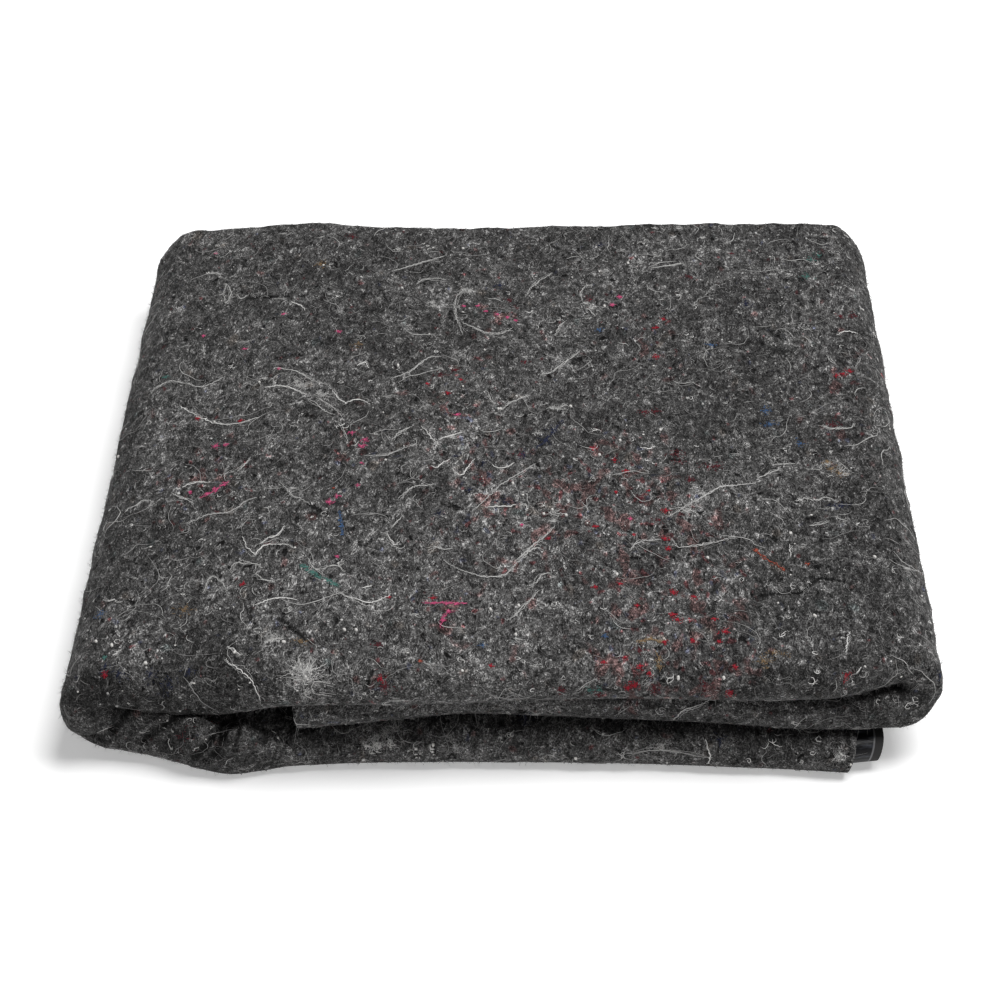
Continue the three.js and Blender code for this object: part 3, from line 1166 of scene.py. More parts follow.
    def settle(self, p: Array) -> Array:
        """Rounds the corners, swells the upper side and lifts the left end of the underside.

        Args:
            p: Points of the stack as it is folded.

        Returns:
            The points where they come to lie.
        """
        x, y, z = p[..., 0], p[..., 1], p[..., 2]
        for corner in self.corners:
            start_x = self.width / 2 - corner.radius
            start_y = self.depth / 2 - corner.radius
            u = (corner.side_x * x - start_x) / corner.radius
            v = (corner.side_y * y - start_y) / corner.radius
            inside = (u > 0) & (v > 0)
            round_x = start_x + corner.radius * u * np.sqrt(1 - np.clip(v, 0, 1) ** 2 / 2)
            round_y = start_y + corner.radius * v * np.sqrt(1 - np.clip(u, 0, 1) ** 2 / 2)
            x = np.where(inside, corner.side_x * round_x, x)
            y = np.where(inside, corner.side_y * round_y, y)
        rise = sum(s.rise * bell(np.hypot(x - s.x, y - s.y), s.spread) for s in self.swells)
        lift = self.lift * smooth(-x, -self.lift_from, self.width / 2)
        share = z / self.stack_height
        z = z + rise * share + lift * np.maximum(0, 1 - share)
        return np.stack([x, y, z], axis=-1)

    def surface(self, path: Path, section: Section, side: Side) -> Array:
        """Points of one face of the sheet, in the part's frame.

        Args:
            path: Stations along the strip.
            section: Stations across it.
            side: Which face.

        Returns:
            Points by path and section station.
        """
        half = side * self.thickness / 2
        spacing = (path.height - self.thickness) / (self.layers - 1)
        offset = spacing[:, None] * section.n + half * section.face_n
        tucks = np.array([row.tuck for row in self.fold_ends])[section.nest]
        at_bottom = path.share * (path.end == End.BOTTOM)
        front = path.front[:, None] + at_bottom[:, None] * tucks
        on_left = path.stretch == Stretch.LEFT_TURN
        for crease in self.left_front:
            depth = crease.depth * bell(path.angle - crease.angle, crease.spread) * on_left
            front = front + depth[:, None] * bell(section.n - crease.layer, crease.reach)
        front_y = front - self.depth / 2 + self.leg_height / 2
        back_round = (self.layers / 2 - 1) * self.pitch / 2 + self.thickness / 2
        back_y = self.depth / 2 - back_round + np.array(self.back_reach)[section.edge]
        y = front_y + (back_y - front_y) * section.v + section.dy + half * section.face_y
        x = np.broadcast_to(path.x[:, None], y.shape).copy()
        for end, (free, ends) in self.end_x(section).items():
            rows = path.end == end
            x[rows] = free + (ends - free) * path.share[rows][:, None]
        points = [x + offset * path.nx[:, None], y, path.z[:, None] + offset * path.nz[:, None]]
        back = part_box(NODE)[1][1] / MM
        return self.settle(np.stack(points, axis=-1)) + (0.0, back - self.depth / 2, 0.0)

    def from_end(self, path: Path, section: Section) -> Array:
        """Measures how far each point is from the nearer cut end.

        Args:
            path: Stations along the strip.
            section: Stations across it.

        Returns:
            The distance along the strip, the strip's width for points far from both.
        """
        gap = np.full((len(path.x), len(section.v)), self.width)
        for end, (free, ends) in self.end_x(section).items():
            rows = path.end == end
            gap[rows] = np.abs(ends - free) * (1 - path.share[rows][:, None])
        return gap

    @staticmethod
    def normals(points: Array) -> Array:
        """Finds the way the felt looks.

        Args:
            points: A grid of points on the felt face.

        Returns:
            Unit normals, out of the felt.
        """
        across = np.gradient(points, axis=1)
        down = np.gradient(points, axis=0)
        normal = np.cross(across, down)
        return normal / np.maximum(np.linalg.norm(normal, axis=-1, keepdims=True), 1e-9)

    def shown(self, path: Path, section: Section) -> Array:
        """Tells which felt lies open to view.

        Args:
            path: Stations along the strip.
            section: Stations across it.

        Returns:
            1 for each point that does, else 0.
        """
        outer = (section.layer >= 0.5) & (section.layer <= 1.5)
        at_front = (section.layer <= 1) & (section.v < self.front_share)
        at_back = section.layer == 1.5
        inner_lip = (section.layer == 0) & (section.v < self.lip_share)
        on_bottom = (path.stretch == Stretch.BOTTOM)[:, None]
        return ((path.on_top & outer) | at_front | at_back | (on_bottom & inner_lip)).astype(float)

    def freedom(self, normal: Array, path: Path, section: Section) -> Array:
        """How far each point of the felt may leave its smooth place.

        Args:
            normal: The way the felt looks at each point.
            path: The points' stations along the strip.
            section: Their stations across it.

        Returns:
            1 on felt that lies open and 0 where layers touch.
        """
        lip = smooth(np.abs(normal[..., 1]), *self.lip_slope)
        under = smooth(path.angle * (path.stretch == Stretch.LEFT_TURN), *self.under_turn)[:, None]
        open_side = np.maximum(normal[..., 2], 0) + np.abs(normal[..., 0]) + np.abs(normal[..., 1])
        free = np.where(path.on_top, open_side * (1 - under) + lip * under, lip)
        return np.clip(free, 0, 1) * smooth(normal[..., 2], *self.underside) * self.shown(path, section)

    def unevenness(self, points: Array, path: Path, section: Section) -> Array:
        """Felt points moved out of or into the felt by its lumps and by the listed creases.

        Args:
            points: Smooth points of the felt face.
            path: Their stations along the strip.
            section: Their stations across it.

        Returns:
            The moved points.
        """
        normal = self.normals(points)
        free = self.freedom(normal, path, section)
        shift = np.zeros(points.shape[:2])
        for crease in self.creases:
            a, b = np.array(crease.start), np.array(crease.end)
            t = np.clip((points - a) @ (b - a) / ((b - a) @ (b - a)), 0, 1)
            gap = np.linalg.norm(points - (a + t[..., None] * (b - a)), axis=-1)
            shift -= crease.depth * bell(gap, crease.width)
        places = np.argwhere(free > 0)
        for lump in self.lumps:
            for i, j in places:
                spot = Vector(points[i, j]) / lump.length
                shift[i, j] += lump.height * noise.fractal(spot, 1.0, 2.0, lump.octaves)
        return points + normal * (np.maximum(shift, -self.deepest) * free)[..., None]

    def clouded(self, points: Array, clouds: Sequence[Cloud]) -> Array:
        """Adds up broad patches, each drawn out from front to back.

        Args:
            points: Points on the felt.
            clouds: The patches.

        Returns:
            Their strength at each point.
        """
        total = np.zeros(points.shape[:-1])
        for cloud in clouds:
            away = (points - (cloud.x, cloud.y, cloud.z)) * self.cloud_draw
            total += cloud.weight * bell(np.linalg.norm(away, axis=-1), cloud.spread)
        return total

    def grids(self) -> tuple[Grid, Grid, Grid]:
        """Lays out the sheet's faces.

        Returns:
            Grids of the outer layer of the felt, of its other layers, and of the film.
        """
        fine = self.path(self.fine_step, self.turn_steps)
        coarse = self.path(self.coarse_step, self.coarse_turn_steps)
        last = self.layers - 1
        close = np.concatenate([self.outer_flats, evenly(*self.outer_span, self.fine_step / self.depth)])
        flats = {0: self.lip_flats, 1: close, last: self.cut_flats}
        across = self.section(flats, dict(self.fine_folds))
        film = self.section({0: self.cut_flats, last: self.cut_flats}, {})
        split = int(np.argmax(across.layer >= 2)) + 1
        columns = [getattr(across, field.name) for field in fields(Section)]
        outer = Section(*(column[:split] for column in columns))
        inner = Section(*(column[split:] for column in columns))
        return (
            Grid(fine, outer, self.unevenness(self.surface(fine, outer, Side.FELT), fine, outer)),
            Grid(coarse, inner, self.surface(coarse, inner, Side.FELT)),
            Grid(coarse, film, self.surface(coarse, film, Side.FILM)),
        )

    @staticmethod
    def rims(grids: Sequence[Grid], index: Sequence[Array]) -> tuple[Rim, ...]:
        """The strips that close the sheet: one between the felt's two grids, and four round its edge.

        Args:
            grids: The sheet's three grids.
            index: The vertices of each.

        Returns:
            The two rows of vertices along each strip, with their places.
        """
        outer, inner, film = index
        fine, coarse = grids[0].path.place, grids[1].path.place
        felt = np.concatenate([grids[0].section.place, grids[1].section.place])
        back = grids[2].section.place
        return (
            (inner[:, 0], coarse, outer[:, -1], fine),
            (outer[:, 0], fine, film[:, 0], coarse),
            (film[:, -1], coarse, inner[:, -1], coarse),
            (film[0], back, np.concatenate([outer[0], inner[0]]), felt),
            (np.concatenate([outer[-1], inner[-1]]), felt, film[-1], back),
        )

    def values(self, grids: Sequence[Grid]) -> dict[str, tuple[str, Array]]:
        """What the finishes and the loose fibre read at each point of the sheet.

        Args:
            grids: The sheet's three grids.

        Returns:
            The type and the values of each attribute.
        """
        outer = grids[0]
        shown = self.shown(outer.path, outer.section)
        steep = 1 - smooth(np.abs(self.normals(outer.points)[..., 2]), *self.steepness)
        on_outer = {
            "nap": shown,
            "fringe": shown * (self.least_fringe + (1 - self.least_fringe) * steep),
            # broad patches of the felt's own tone together with painted light and shade
            "cloud": self.clouded(outer.points, self.tone_clouds),
            "dyed": np.minimum(self.clouded(outer.points, self.dye_clouds), 1),
        }
        hidden = np.zeros(sum(grid.points[..., 0].size for grid in grids[1:]))
        found = {name: np.concatenate([column.ravel(), hidden]) for name, column in on_outer.items()}
        gaps = [self.from_end(grid.path, grid.section).ravel() for grid in grids]
        found["from_end"] = np.concatenate(gaps) * MM
        return {name: ("FLOAT", column.astype(np.float32)) for name, column in found.items()}

    def build(self) -> Object:
        """Builds the closed sheet: a fine felt face where it shows, coarser faces inside, a rim all round.

        Returns:
            The sheet's object, with its attributes on its points.
        """
        grids = self.grids()
        faces: list[tuple[int, ...]] = []
        slots: list[int] = []
        index: list[Array] = []
        start = 0
        for grid, slot in zip(grids, (0, 0, 1)):
            shape = grid.points.shape[:2]
            ids = start + np.arange(shape[0] * shape[1]).reshape(shape)
            start += ids.size
            index.append(ids)
            around = [ids[:-1, :-1], ids[:-1, 1:], ids[1:, 1:], ids[1:, :-1]]
            quads = np.stack(around[::-1] if slot else around, axis=-1).reshape(-1, 4)
            faces += [tuple(quad) for quad in quads.tolist()]
            slots += [slot] * len(quads)
        rims = self.rims(grids, index)
        faces += [face for rim in rims for face in zipped(*rim)]
        slots += [0] * (len(faces) - len(slots))
        points = np.concatenate([grid.points.reshape(-1, 3) for grid in grids])
        mesh = bpy.data.meshes.new(NODE + "_cloth")
        mesh.from_pydata((points * MM).tolist(), [], faces)
        mesh.polygons.foreach_set("material_index", slots)
        keep(mesh, self.values(grids))
        self.unfold(mesh, grids, rims)
        mesh.polygons.foreach_set("use_smooth", [True] * len(faces))
        mesh.set_sharp_from_angle(angle=math.radians(self.sharp_angle))
        mesh.update()
        sheet = bpy.data.objects.new("felt_cloth", mesh)
        bpy.context.scene.collection.objects.link(sheet)
        return sheet

    def flat_places(self, grid: Grid, band: Span) -> Array:
        """Places of a grid's points on the sheet laid flat, with more room for what shows.

        Args:
            grid: The grid.
            band: Where it begins and ends across the map.

        Returns:
            Places by path and section station.
        """
        path, section, points = grid
        room = np.array(self.map_room)[path.stretch[1:].astype(int)]
        room = room * np.where(path.end[1:] == End.NONE, 1, self.map_ends)
        along_strip = np.cumsum([0.0, *np.diff(path.place) * room])
        fold = section.layer[1:] % 1 > 0
        hidden = (section.layer[1:] != 1) & (section.v[1:] > self.lip_share) & ~fold
        room = np.where(fold, self.map_folds, np.where(hidden, self.map_hidden, 1.0))
        gaps = np.linalg.norm(np.diff(points[len(points) // 2], axis=0), axis=-1)
        across = np.cumsum([0.0, *gaps * room])
        u, v = np.meshgrid(along_strip / along_strip[-1], across / across[-1], indexing="ij")
        return np.stack([u, band[0] + (band[1] - band[0]) * v], axis=-1)

    def unfold(self, mesh: Mesh, grids: Sequence[Grid], rims: Sequence[Rim]) -> None:
        """Gives the mesh a map for baked patterns: its three grids and five rims in bands of their own.

        Args:
            mesh: The sheet's mesh, with the faces of the grids before those of the rims.
            grids: The sheet's grids.
            rims: The rims between them.
        """
        flat = [self.flat_places(grid, band).reshape(-1, 2) for grid, band in zip(grids, self.map_bands)]
        corners = np.empty(len(mesh.loops), int)
        mesh.loops.foreach_get("vertex_index", corners)
        spots = np.concatenate(flat)[corners]
        start = 4 * sum((grid.points.shape[0] - 1) * (grid.points.shape[1] - 1) for grid in grids)
        low = self.map_rims
        for a, a_place, b, b_place in rims:
            stop = start + 3 * (len(a) + len(b) - 2)
            place = dict(zip([*a, *b], np.concatenate([a_place, b_place]) / a_place[-1]))
            spots[start:stop, 0] = [place[corner] for corner in corners[start:stop]]
            spots[start:stop, 1] = np.where(np.isin(corners[start:stop], a), low, low + self.map_rim)
            start = stop
            low += 1.5 * self.map_rim
        mesh.uv_layers.new(name="OFBake").data.foreach_set("uv", spots.ravel())

    def dress(self, sheet: Object, loose: Sequence[Object]) -> None:
        """Args:
            sheet: The sheet's object.
            loose: The pieces of loose fibre that lie on it; not used.
        """
        sheet.data.materials.append(FeltFinish("needled_felt", roughness=0.95, sheen=0.03).material())
        sheet.data.materials.append(FilmFinish("black_film", specular=0.2).material())
        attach(sheet, BODY)
        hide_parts(NODE)


class Draw(IntEnum):
    """What chance decides for loose fibre: each has a seed of its own, counted from the layer's."""

    SIZE = 1
    TONE = 2
    MARK_PLACE = 3
    CLUMP = 5
    CLUMP_PLACE = 6
    SIZE_CHANGE = 8
    SWING = 9
    SHAPE = 10
    STAND = 11
    GIRTH = 12
    TURN = 13


class FibreNodes(Nodes):
    """Nodes of a tree that lays loose fibre on the felt, with the tree's named inputs."""

    def __init__(self, tree: NodeTree, inputs: Iterable[str]) -> None:
        """Keeps the tree and its inputs."""
        super().__init__(tree)
        group = tree.nodes.new("NodeGroupInput")
        self.given = {name: Wire(self, group.outputs[name]) for name in inputs}

    def read(self, name: str, kind: str = "FLOAT") -> Wire:
        """A named attribute."""
        return self.add("GeometryNodeInputNamedAttribute", {"data_type": kind}, {"Name": name})

    def store(self, geometry: Wire, name: str, value: Wire | float, kind: str = "FLOAT") -> Wire:
        """Keeps a value on the points of a geometry.

        Args:
            geometry: The geometry.
            name: Name of the attribute.
            value: Its value.
            kind: Its type.

        Returns:
            The geometry with it.
        """
        settings = {"data_type": kind, "domain": "POINT"}
        kept = {"Geometry": geometry, "Name": name, "Value": value}
        return self.add("GeometryNodeStoreNamedAttribute", settings, kept)

    def chance(self, low: object, high: object, draw: int, kind: str = "FLOAT") -> Wire:
        """A random value for each point."""
        limits = {"Min": low, "Max": high, "Seed": self.given["Seed"] + draw}
        return self.add("FunctionNodeRandomValue", {"data_type": kind}, limits)

    def repeated(self, points: Wire, amount: Wire) -> Wire:
        """Each point as many times as its amount."""
        many = {"Geometry": points, "Amount": amount}
        return self.add("GeometryNodeDuplicateElements", {"domain": "POINT"}, many)

    def moved(self, geometry: Wire, place: Wire) -> Wire:
        """Geometry with its points at a place."""
        return self.add("GeometryNodeSetPosition", None, {"Geometry": geometry, "Position": place})

    def spread(self, points: Wire, reach: Wire, draw: int, evenness: float = 0.6) -> Wire:
        """Points moved about by chance, most of them a little and some as far as the reach.

        Args:
            points: The points.
            reach: How far they may move.
            draw: The first of the two draws that decide it.
            evenness: How much of the move is as likely to be long as short.

        Returns:
            The moved points.
        """
        ends = ((-1.0, -1.0, -1.0), (1.0, 1.0, 1.0))
        one, other = (self.chance(*ends, draw + k, "FLOAT_VECTOR") for k in range(2))
        away = self.shifted(self.vector("MULTIPLY", one, other), self.scaled(one, evenness))
        offset = {"Geometry": points, "Offset": self.scaled(away, reach)}
        return self.add("GeometryNodeSetPosition", None, offset)

    def marks(self) -> Wire:
        """What is placed one by one."""
        return self.add("GeometryNodeObjectInfo", None, {"Object": self.given["Marks"]}, out="Geometry")

    def outwards(self) -> Wire:
        """The way the felt looks at its nearest place."""
        looks = {"Mesh": self.given["Surface"], "Value": self.add("GeometryNodeInputNormal")}
        return self.add("GeometryNodeSampleNearestSurface", {"data_type": "FLOAT_VECTOR"}, looks)

    def on_felt(self, height: Wire) -> Wire:
        """The felt's nearest place to each point, raised by a height."""
        felt = {"Target": self.given["Surface"]}
        nearest = self.add("GeometryNodeProximity", {"target_element": "FACES"}, felt)
        return self.shifted(nearest, self.scaled(self.outwards(), height))


@dataclass(frozen=True)
class FibreShapes:
    """A handful of fibre lines of unit length, for a layer to choose from."""

    name: str
    variants: int
    points: int
    bend: float
    waver: float
    seed: int
    least_bend: float = 0.35

    def line(self, rng: np.random.Generator) -> Array:
        """One line.

        Args:
            rng: Source of its bends.

        Returns:
            Its points, about the origin in the XY plane.
        """
        count = self.points - 1
        walk = np.cumsum(rng.normal(0, self.waver, count)) / math.sqrt(count)
        bend = rng.uniform(self.least_bend, 1.0) * self.bend * rng.choice((-1, 1))
        heading = bend * np.linspace(-0.5, 0.5, count) + walk
        steps = np.stack([np.cos(heading), np.sin(heading), 0 * heading], axis=-1) / count
        line = np.concatenate([np.zeros((1, 3)), np.cumsum(steps, axis=0)])
        return line - line.mean(axis=0)

    def collection(self) -> Collection:
        """Makes the lines as curves.

        Returns:
            A collection that the scene doesn't show.
        """
        rng = np.random.default_rng(self.seed)
        found = bpy.data.collections.new(f"{self.name}_shapes")
        for number in range(self.variants):
            line = self.line(rng)
            curve = bpy.data.curves.new(f"{self.name}_{number}", "CURVE")
            curve.dimensions = "3D"
            spline = curve.splines.new("POLY")
            spline.points.add(len(line) - 1)
            spline.points.foreach_set("co", np.column_stack([line, np.ones(len(line))]).ravel())
            found.objects.link(bpy.data.objects.new(curve.name, curve))
        return found


@dataclass(frozen=True)
class KnotShapes:
    """A handful of small uneven lumps of unit size, for a layer to choose from."""

    variants: int
    waver: float
    seed: int
    stretch: Span = (0.45, 1.35)

    def collection(self) -> Collection:
        """Makes the lumps as meshes.

        Returns:
            A collection that the scene doesn't show.
        """
        rng = np.random.default_rng(self.seed)
        found = bpy.data.collections.new("knot_shapes")
        for number in range(self.variants):
            lump = bmesh.new()
            bmesh.ops.create_icosphere(lump, subdivisions=1, radius=0.5)
            stretch = Vector(rng.uniform(*self.stretch, 3))
            for vert in lump.verts:
                vert.co = vert.co * stretch * (1 + rng.uniform(-self.waver, self.waver))
            mesh = bpy.data.meshes.new(f"knot_{number}")
            lump.to_mesh(mesh)
            lump.free()
            found.objects.link(bpy.data.objects.new(mesh.name, mesh))
        return found


# a tree's named inputs: the kind of each socket and its value
Inputs = dict[str, tuple[str, object]]


@dataclass
class LooseLayer:
    """Loose fibre of one kind on the felt, laid by geometry nodes. Sizes in mm, density per square metre."""

    name: str
    shapes: FibreShapes | KnotShapes
    tones: Sequence[FibreFinish]
    density: float = 0.0
    size: Span = (3.0, 8.0)
    cover: str = "nap"
    clump: tuple[int, int] = (1, 1)
    clump_spread: float = 0.0
    size_change: Span = (0.7, 1.3)
    jitter: float = math.pi
    tone_bias: float = 1.0
    lift: float = 0.05
    seed: int = 1
    marks: Sequence[Mark] = ()

    def sizes(self) -> Inputs:
        """Lists the layer's own inputs.

        Returns:
            The tree's inputs of sizes and finishes.
        """
        return {
            "Density": ("Float", self.density),
            "Least Size": ("Float", self.size[0] * MM),
            "Most Size": ("Float", self.size[1] * MM),
            "Least Clump": ("Int", self.clump[0]),
            "Most Clump": ("Int", self.clump[1]),
            "Clump Spread": ("Float", self.clump_spread * MM),
            "Tone Bias": ("Float", self.tone_bias),
            "Lift": ("Float", self.lift * MM),
            "Seed": ("Int", self.seed),
            **{f"Tone {k}": ("Material", tone.material()) for k, tone in enumerate(self.tones)},
        }

    def gathered(self, nodes: FibreNodes) -> Wire:
        """Points to lay fibre at: scattered over the felt, gathered round the marks, each a clump.

        Args:
            nodes: The tree's nodes.

        Returns:
            The points, each with its size, turn, jitter and tone.
        """
        given = nodes.given
        density = given["Density"] * nodes.read(self.cover)
        felt = {"Mesh": given["Surface"], "Density": density, "Seed": given["Seed"]}
        scattered = nodes.add("GeometryNodeDistributePointsOnFaces", None, felt)
        size = nodes.chance(given["Least Size"], given["Most Size"], Draw.SIZE)
        scattered = nodes.store(scattered, "size", size)
        scattered = nodes.store(scattered, "turn", nodes.chance(-math.pi, math.pi, Draw.TURN))
        scattered = nodes.store(scattered, "jitter", self.jitter)
        luck = nodes.chance(0.0, 1.0, Draw.TONE).math("POWER", given["Tone Bias"])
        tone = (luck * (len(self.tones) - 0.001)).math("FLOOR")
        scattered = nodes.store(scattered, "tone", tone, "INT")
        marks = nodes.add("GeometryNodeMeshToPoints", None, {"Mesh": nodes.marks()})
        marks = nodes.repeated(marks, nodes.read("many", "INT"))
        marks = nodes.spread(marks, nodes.read("spread"), Draw.MARK_PLACE)
        joined = nodes.add("GeometryNodeJoinGeometry", None, {0: scattered})
        nodes.feed(joined.socket.node.inputs[0], marks)
        amount = nodes.chance(given["Least Clump"], given["Most Clump"], Draw.CLUMP, "INT")
        clumps = nodes.repeated(joined, amount)
        clumps = nodes.spread(clumps, given["Clump Spread"], Draw.CLUMP_PLACE)
        size = nodes.read("size") * nodes.chance(*self.size_change, Draw.SIZE_CHANGE)
        return nodes.store(clumps, "size", size)

    def instances(self, nodes: FibreNodes, points: Wire) -> Wire:
        """The layer's shapes at the points, lying on the felt, each turned and chosen by chance.

        Args:
            nodes: The tree's nodes.
            points: Where they lie.

        Returns:
            The realized shapes.
        """
        facing = nodes.add("FunctionNodeAlignRotationToVector", {"axis": "Z"}, {"Vector": nodes.outwards()})
        spin = nodes.read("turn") + nodes.read("jitter") * nodes.chance(-1.0, 1.0, Draw.SWING)
        turned = nodes.add("FunctionNodeAxisAngleToRotation", None, {"Axis": (0.0, 0.0, 1.0), "Angle": spin})
        lie = nodes.add("FunctionNodeRotateRotation", {"rotation_space": "LOCAL"}, {0: facing, 1: turned})
        apart = {"Collection": nodes.given["Shapes"], "Separate Children": True, "Reset Children": True}
        chosen = {
            "Points": points,
            "Instance": nodes.add("GeometryNodeCollectionInfo", None, apart),
            "Pick Instance": True,
            "Instance Index": nodes.chance(0, self.shapes.variants - 1, Draw.SHAPE, "INT"),
            "Rotation": lie,
            "Scale": nodes.read("size"),
        }
        placed = nodes.add("GeometryNodeInstanceOnPoints", None, chosen)
        return nodes.add("GeometryNodeRealizeInstances", None, {0: placed})

    def laid(self, nodes: FibreNodes) -> Wire:
        """Mesh of the layer on the felt; each kind of layer has its own."""
        raise NotImplementedError

    def tree(self, inputs: Inputs) -> GeometryNodeTree:
        """Builds the node tree that lays the layer.

        Args:
            inputs: The tree's named inputs.

        Returns:
            The tree.
        """
        tree = bpy.data.node_groups.new(self.name, "GeometryNodeTree")
        for name, (kind, _) in inputs.items():
            tree.interface.new_socket(name=name, in_out="INPUT", socket_type="NodeSocket" + kind)
        tree.interface.new_socket(name="Fibres", in_out="OUTPUT", socket_type="NodeSocketGeometry")
        nodes = FibreNodes(tree, inputs)
        fibres = nodes.add("GeometryNodeRealizeInstances", None, {0: self.laid(nodes)})
        for k in range(len(self.tones)):
            same = {0: nodes.read("tone", "INT"), 1: k}
            chosen = nodes.add("FunctionNodeCompare", {"data_type": "INT", "operation": "EQUAL"}, same)
            dressed = {0: fibres, "Selection": chosen, "Material": nodes.given[f"Tone {k}"]}
            fibres = nodes.add("GeometryNodeSetMaterial", None, dressed)
        nodes.feed(tree.nodes.new("NodeGroupOutput").inputs["Fibres"], fibres)
        return tree

    def mark_object(self) -> Object:
        """Makes what is placed one by one into an object for the tree to read.

        Returns:
            The marks as loose points with their attributes.
        """
        mesh = bpy.data.meshes.new(self.name + "_marks")
        mesh.from_pydata([tuple(MM * c for c in mark.at) for mark in self.marks], [], [])
        keep(mesh, {
            "many": ("INT", [mark.many for mark in self.marks]),
            "spread": ("FLOAT", [mark.spread * MM for mark in self.marks]),
            "size": ("FLOAT", [mark.size * MM for mark in self.marks]),
            "turn": ("FLOAT", [mark.turn for mark in self.marks]),
            "jitter": ("FLOAT", [mark.jitter for mark in self.marks]),
            "tone": ("INT", [mark.tone for mark in self.marks]),
        })
        return bpy.data.objects.new(mesh.name, mesh)

    def build(self, surface: Object) -> Object:
        """Lays the layer on the felt and keeps it as a plain mesh.

        Args:
            surface: The sheet's object.

        Returns:
            The piece of loose fibre.
        """
        piece = bpy.data.objects.new(self.name, surface.data.copy())
        bpy.context.scene.collection.objects.link(piece)
        shapes = self.shapes.collection()
        marks = self.mark_object()
        inputs = {
            "Surface": ("Geometry", None),
            "Shapes": ("Collection", shapes),
            "Marks": ("Object", marks),
            **self.sizes(),
        }
        tree = self.tree(inputs)
        modifier = piece.modifiers.new("lay", "NODES")
        modifier.node_group = tree
        identifiers = {item.name: item.identifier for item in tree.interface.items_tree}
        for name, (_, value) in inputs.items():
            if value is not None:
                modifier[identifiers[name]] = value
        depsgraph = bpy.context.evaluated_depsgraph_get()
        mesh = bpy.data.meshes.new_from_object(piece.evaluated_get(depsgraph))
        piece.modifiers.remove(modifier)
        sheet_copy = piece.data
        piece.data = mesh
        for used in (sheet_copy, marks.data):
            bpy.data.meshes.remove(used)
        for shape in list(shapes.objects):
            bpy.data.objects.remove(shape)
        bpy.data.collections.remove(shapes)
        bpy.data.node_groups.remove(tree)
        mesh.polygons.foreach_set("use_smooth", [True] * len(mesh.polygons))
        return piece

    def dress(self, piece: Object) -> None:
        """Ties the fibre to the frame."""
        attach(piece, BODY)


@dataclass
class FibreLayer(LooseLayer):
    """Fibres as thin tubes that lie on the felt, dive into it here and there, or stand off it."""

    radius: float = 0.06
    rise: float = 0.0
    sink: float = 0.0
    sides: int = 3
    girth: Span = (0.5, 1.2)
    taper: float = 1.2
    wave_length: float = 4.0

    def sizes(self) -> Inputs:
        """Lists the layer's own inputs.

        Returns:
            The layer's inputs, with those of the tubes.
        """
        return {
            **super().sizes(),
            "Radius": ("Float", self.radius * MM),
            "Rise": ("Float", self.rise * MM),
            "Sink": ("Float", self.sink * MM),
            "Sides": ("Int", self.sides),
        }

    def lines(self, nodes: FibreNodes) -> Wire:
        """Draws the fibres' lines.

        Args:
            nodes: The tree's nodes.

        Returns:
            The lines, each with its tone, girth and stand.
        """
        points = self.gathered(nodes)
        points = nodes.store(points, "stand", nodes.chance(0.0, 1.0, Draw.STAND))
        points = nodes.store(points, "girth", nodes.chance(*self.girth, Draw.GIRTH))
        return self.instances(nodes, points)

    def laid(self, nodes: FibreNodes) -> Wire:
        """Fibres drawn onto the felt.

        Args:
            nodes: The tree's nodes.

        Returns:
            Their closed mesh.
        """
        given = nodes.given
        lines = self.lines(nodes)
        t = nodes.add("GeometryNodeSplineParameter", out="Factor")
        wave = nodes.noise(nodes.add("GeometryNodeInputPosition"), self.wave_length * MM, 1.0) - 0.5
        height = given["Lift"] + given["Sink"] * wave + given["Rise"] * nodes.read("stand") * t * t
        above_floor = (-FAR, -FAR, self.radius * MM)
        lines = nodes.moved(lines, nodes.vector("MAXIMUM", nodes.on_felt(height), above_floor))
        circle = {"Resolution": given["Sides"], "Radius": 1.0}
        rim = nodes.add("GeometryNodeCurvePrimitiveCircle", None, circle)
        thick = given["Radius"] * nodes.read("girth") * (1 - abs(t - 0.5) * self.taper)
        tube = {"Curve": lines, "Profile Curve": rim, "Scale": thick, "Fill Caps": True}
        return nodes.add("GeometryNodeCurveToMesh", None, tube)


@dataclass
class PlacedThreads(FibreLayer):
    """Threads placed one by one, along smooth lines through points on the felt."""

    threads: Sequence[Thread] = ()
    step: float = 0.8
    unsteady: float = 0.25

    def mark_object(self) -> Object:
        """Makes the threads into an object for the tree to read.

        Returns:
            Chains of edges with the attributes of their points.
        """
        rng = np.random.default_rng(self.seed)
        chains = []
        for through, _, _ in self.threads:
            run = np.concatenate([[0.0], np.cumsum(np.linalg.norm(np.diff(through, axis=0), axis=1))])
            places = evenly(0.0, run[-1], self.step)
            bent = np.stack([rounded(places, run, column) for column in through.T], axis=-1)
            chains.append(bent + rng.normal(0, self.unsteady, bent.shape) * (1.0, 1.0, 0.0))
        counts = [len(chain) for chain in chains]
        starts = np.cumsum([0, *counts])
        edges = [(k, k + 1) for a, n in zip(starts, counts) for k in range(a, a + n - 1)]
        mesh = bpy.data.meshes.new(self.name + "_lines")
        mesh.from_pydata((np.concatenate(chains) * MM).tolist(), edges, [])
        keep(mesh, {
            "tone": ("INT", np.repeat([thread.tone for thread in self.threads], counts)),
            "girth": ("FLOAT", np.repeat([thread.girth for thread in self.threads], counts)),
        })
        return bpy.data.objects.new(mesh.name, mesh)

    def lines(self, nodes: FibreNodes) -> Wire:
        """Lines of the placed threads."""
        return nodes.add("GeometryNodeMeshToCurve", None, {"Mesh": nodes.marks()})


@dataclass
class KnotLayer(LooseLayer):
    """Small felted lumps that sit half in the felt."""

    def laid(self, nodes: FibreNodes) -> Wire:
        """Lumps set on the felt."""
        points = nodes.moved(self.gathered(nodes), nodes.on_felt(nodes.given["Lift"]))
        return self.instances(nodes, points)


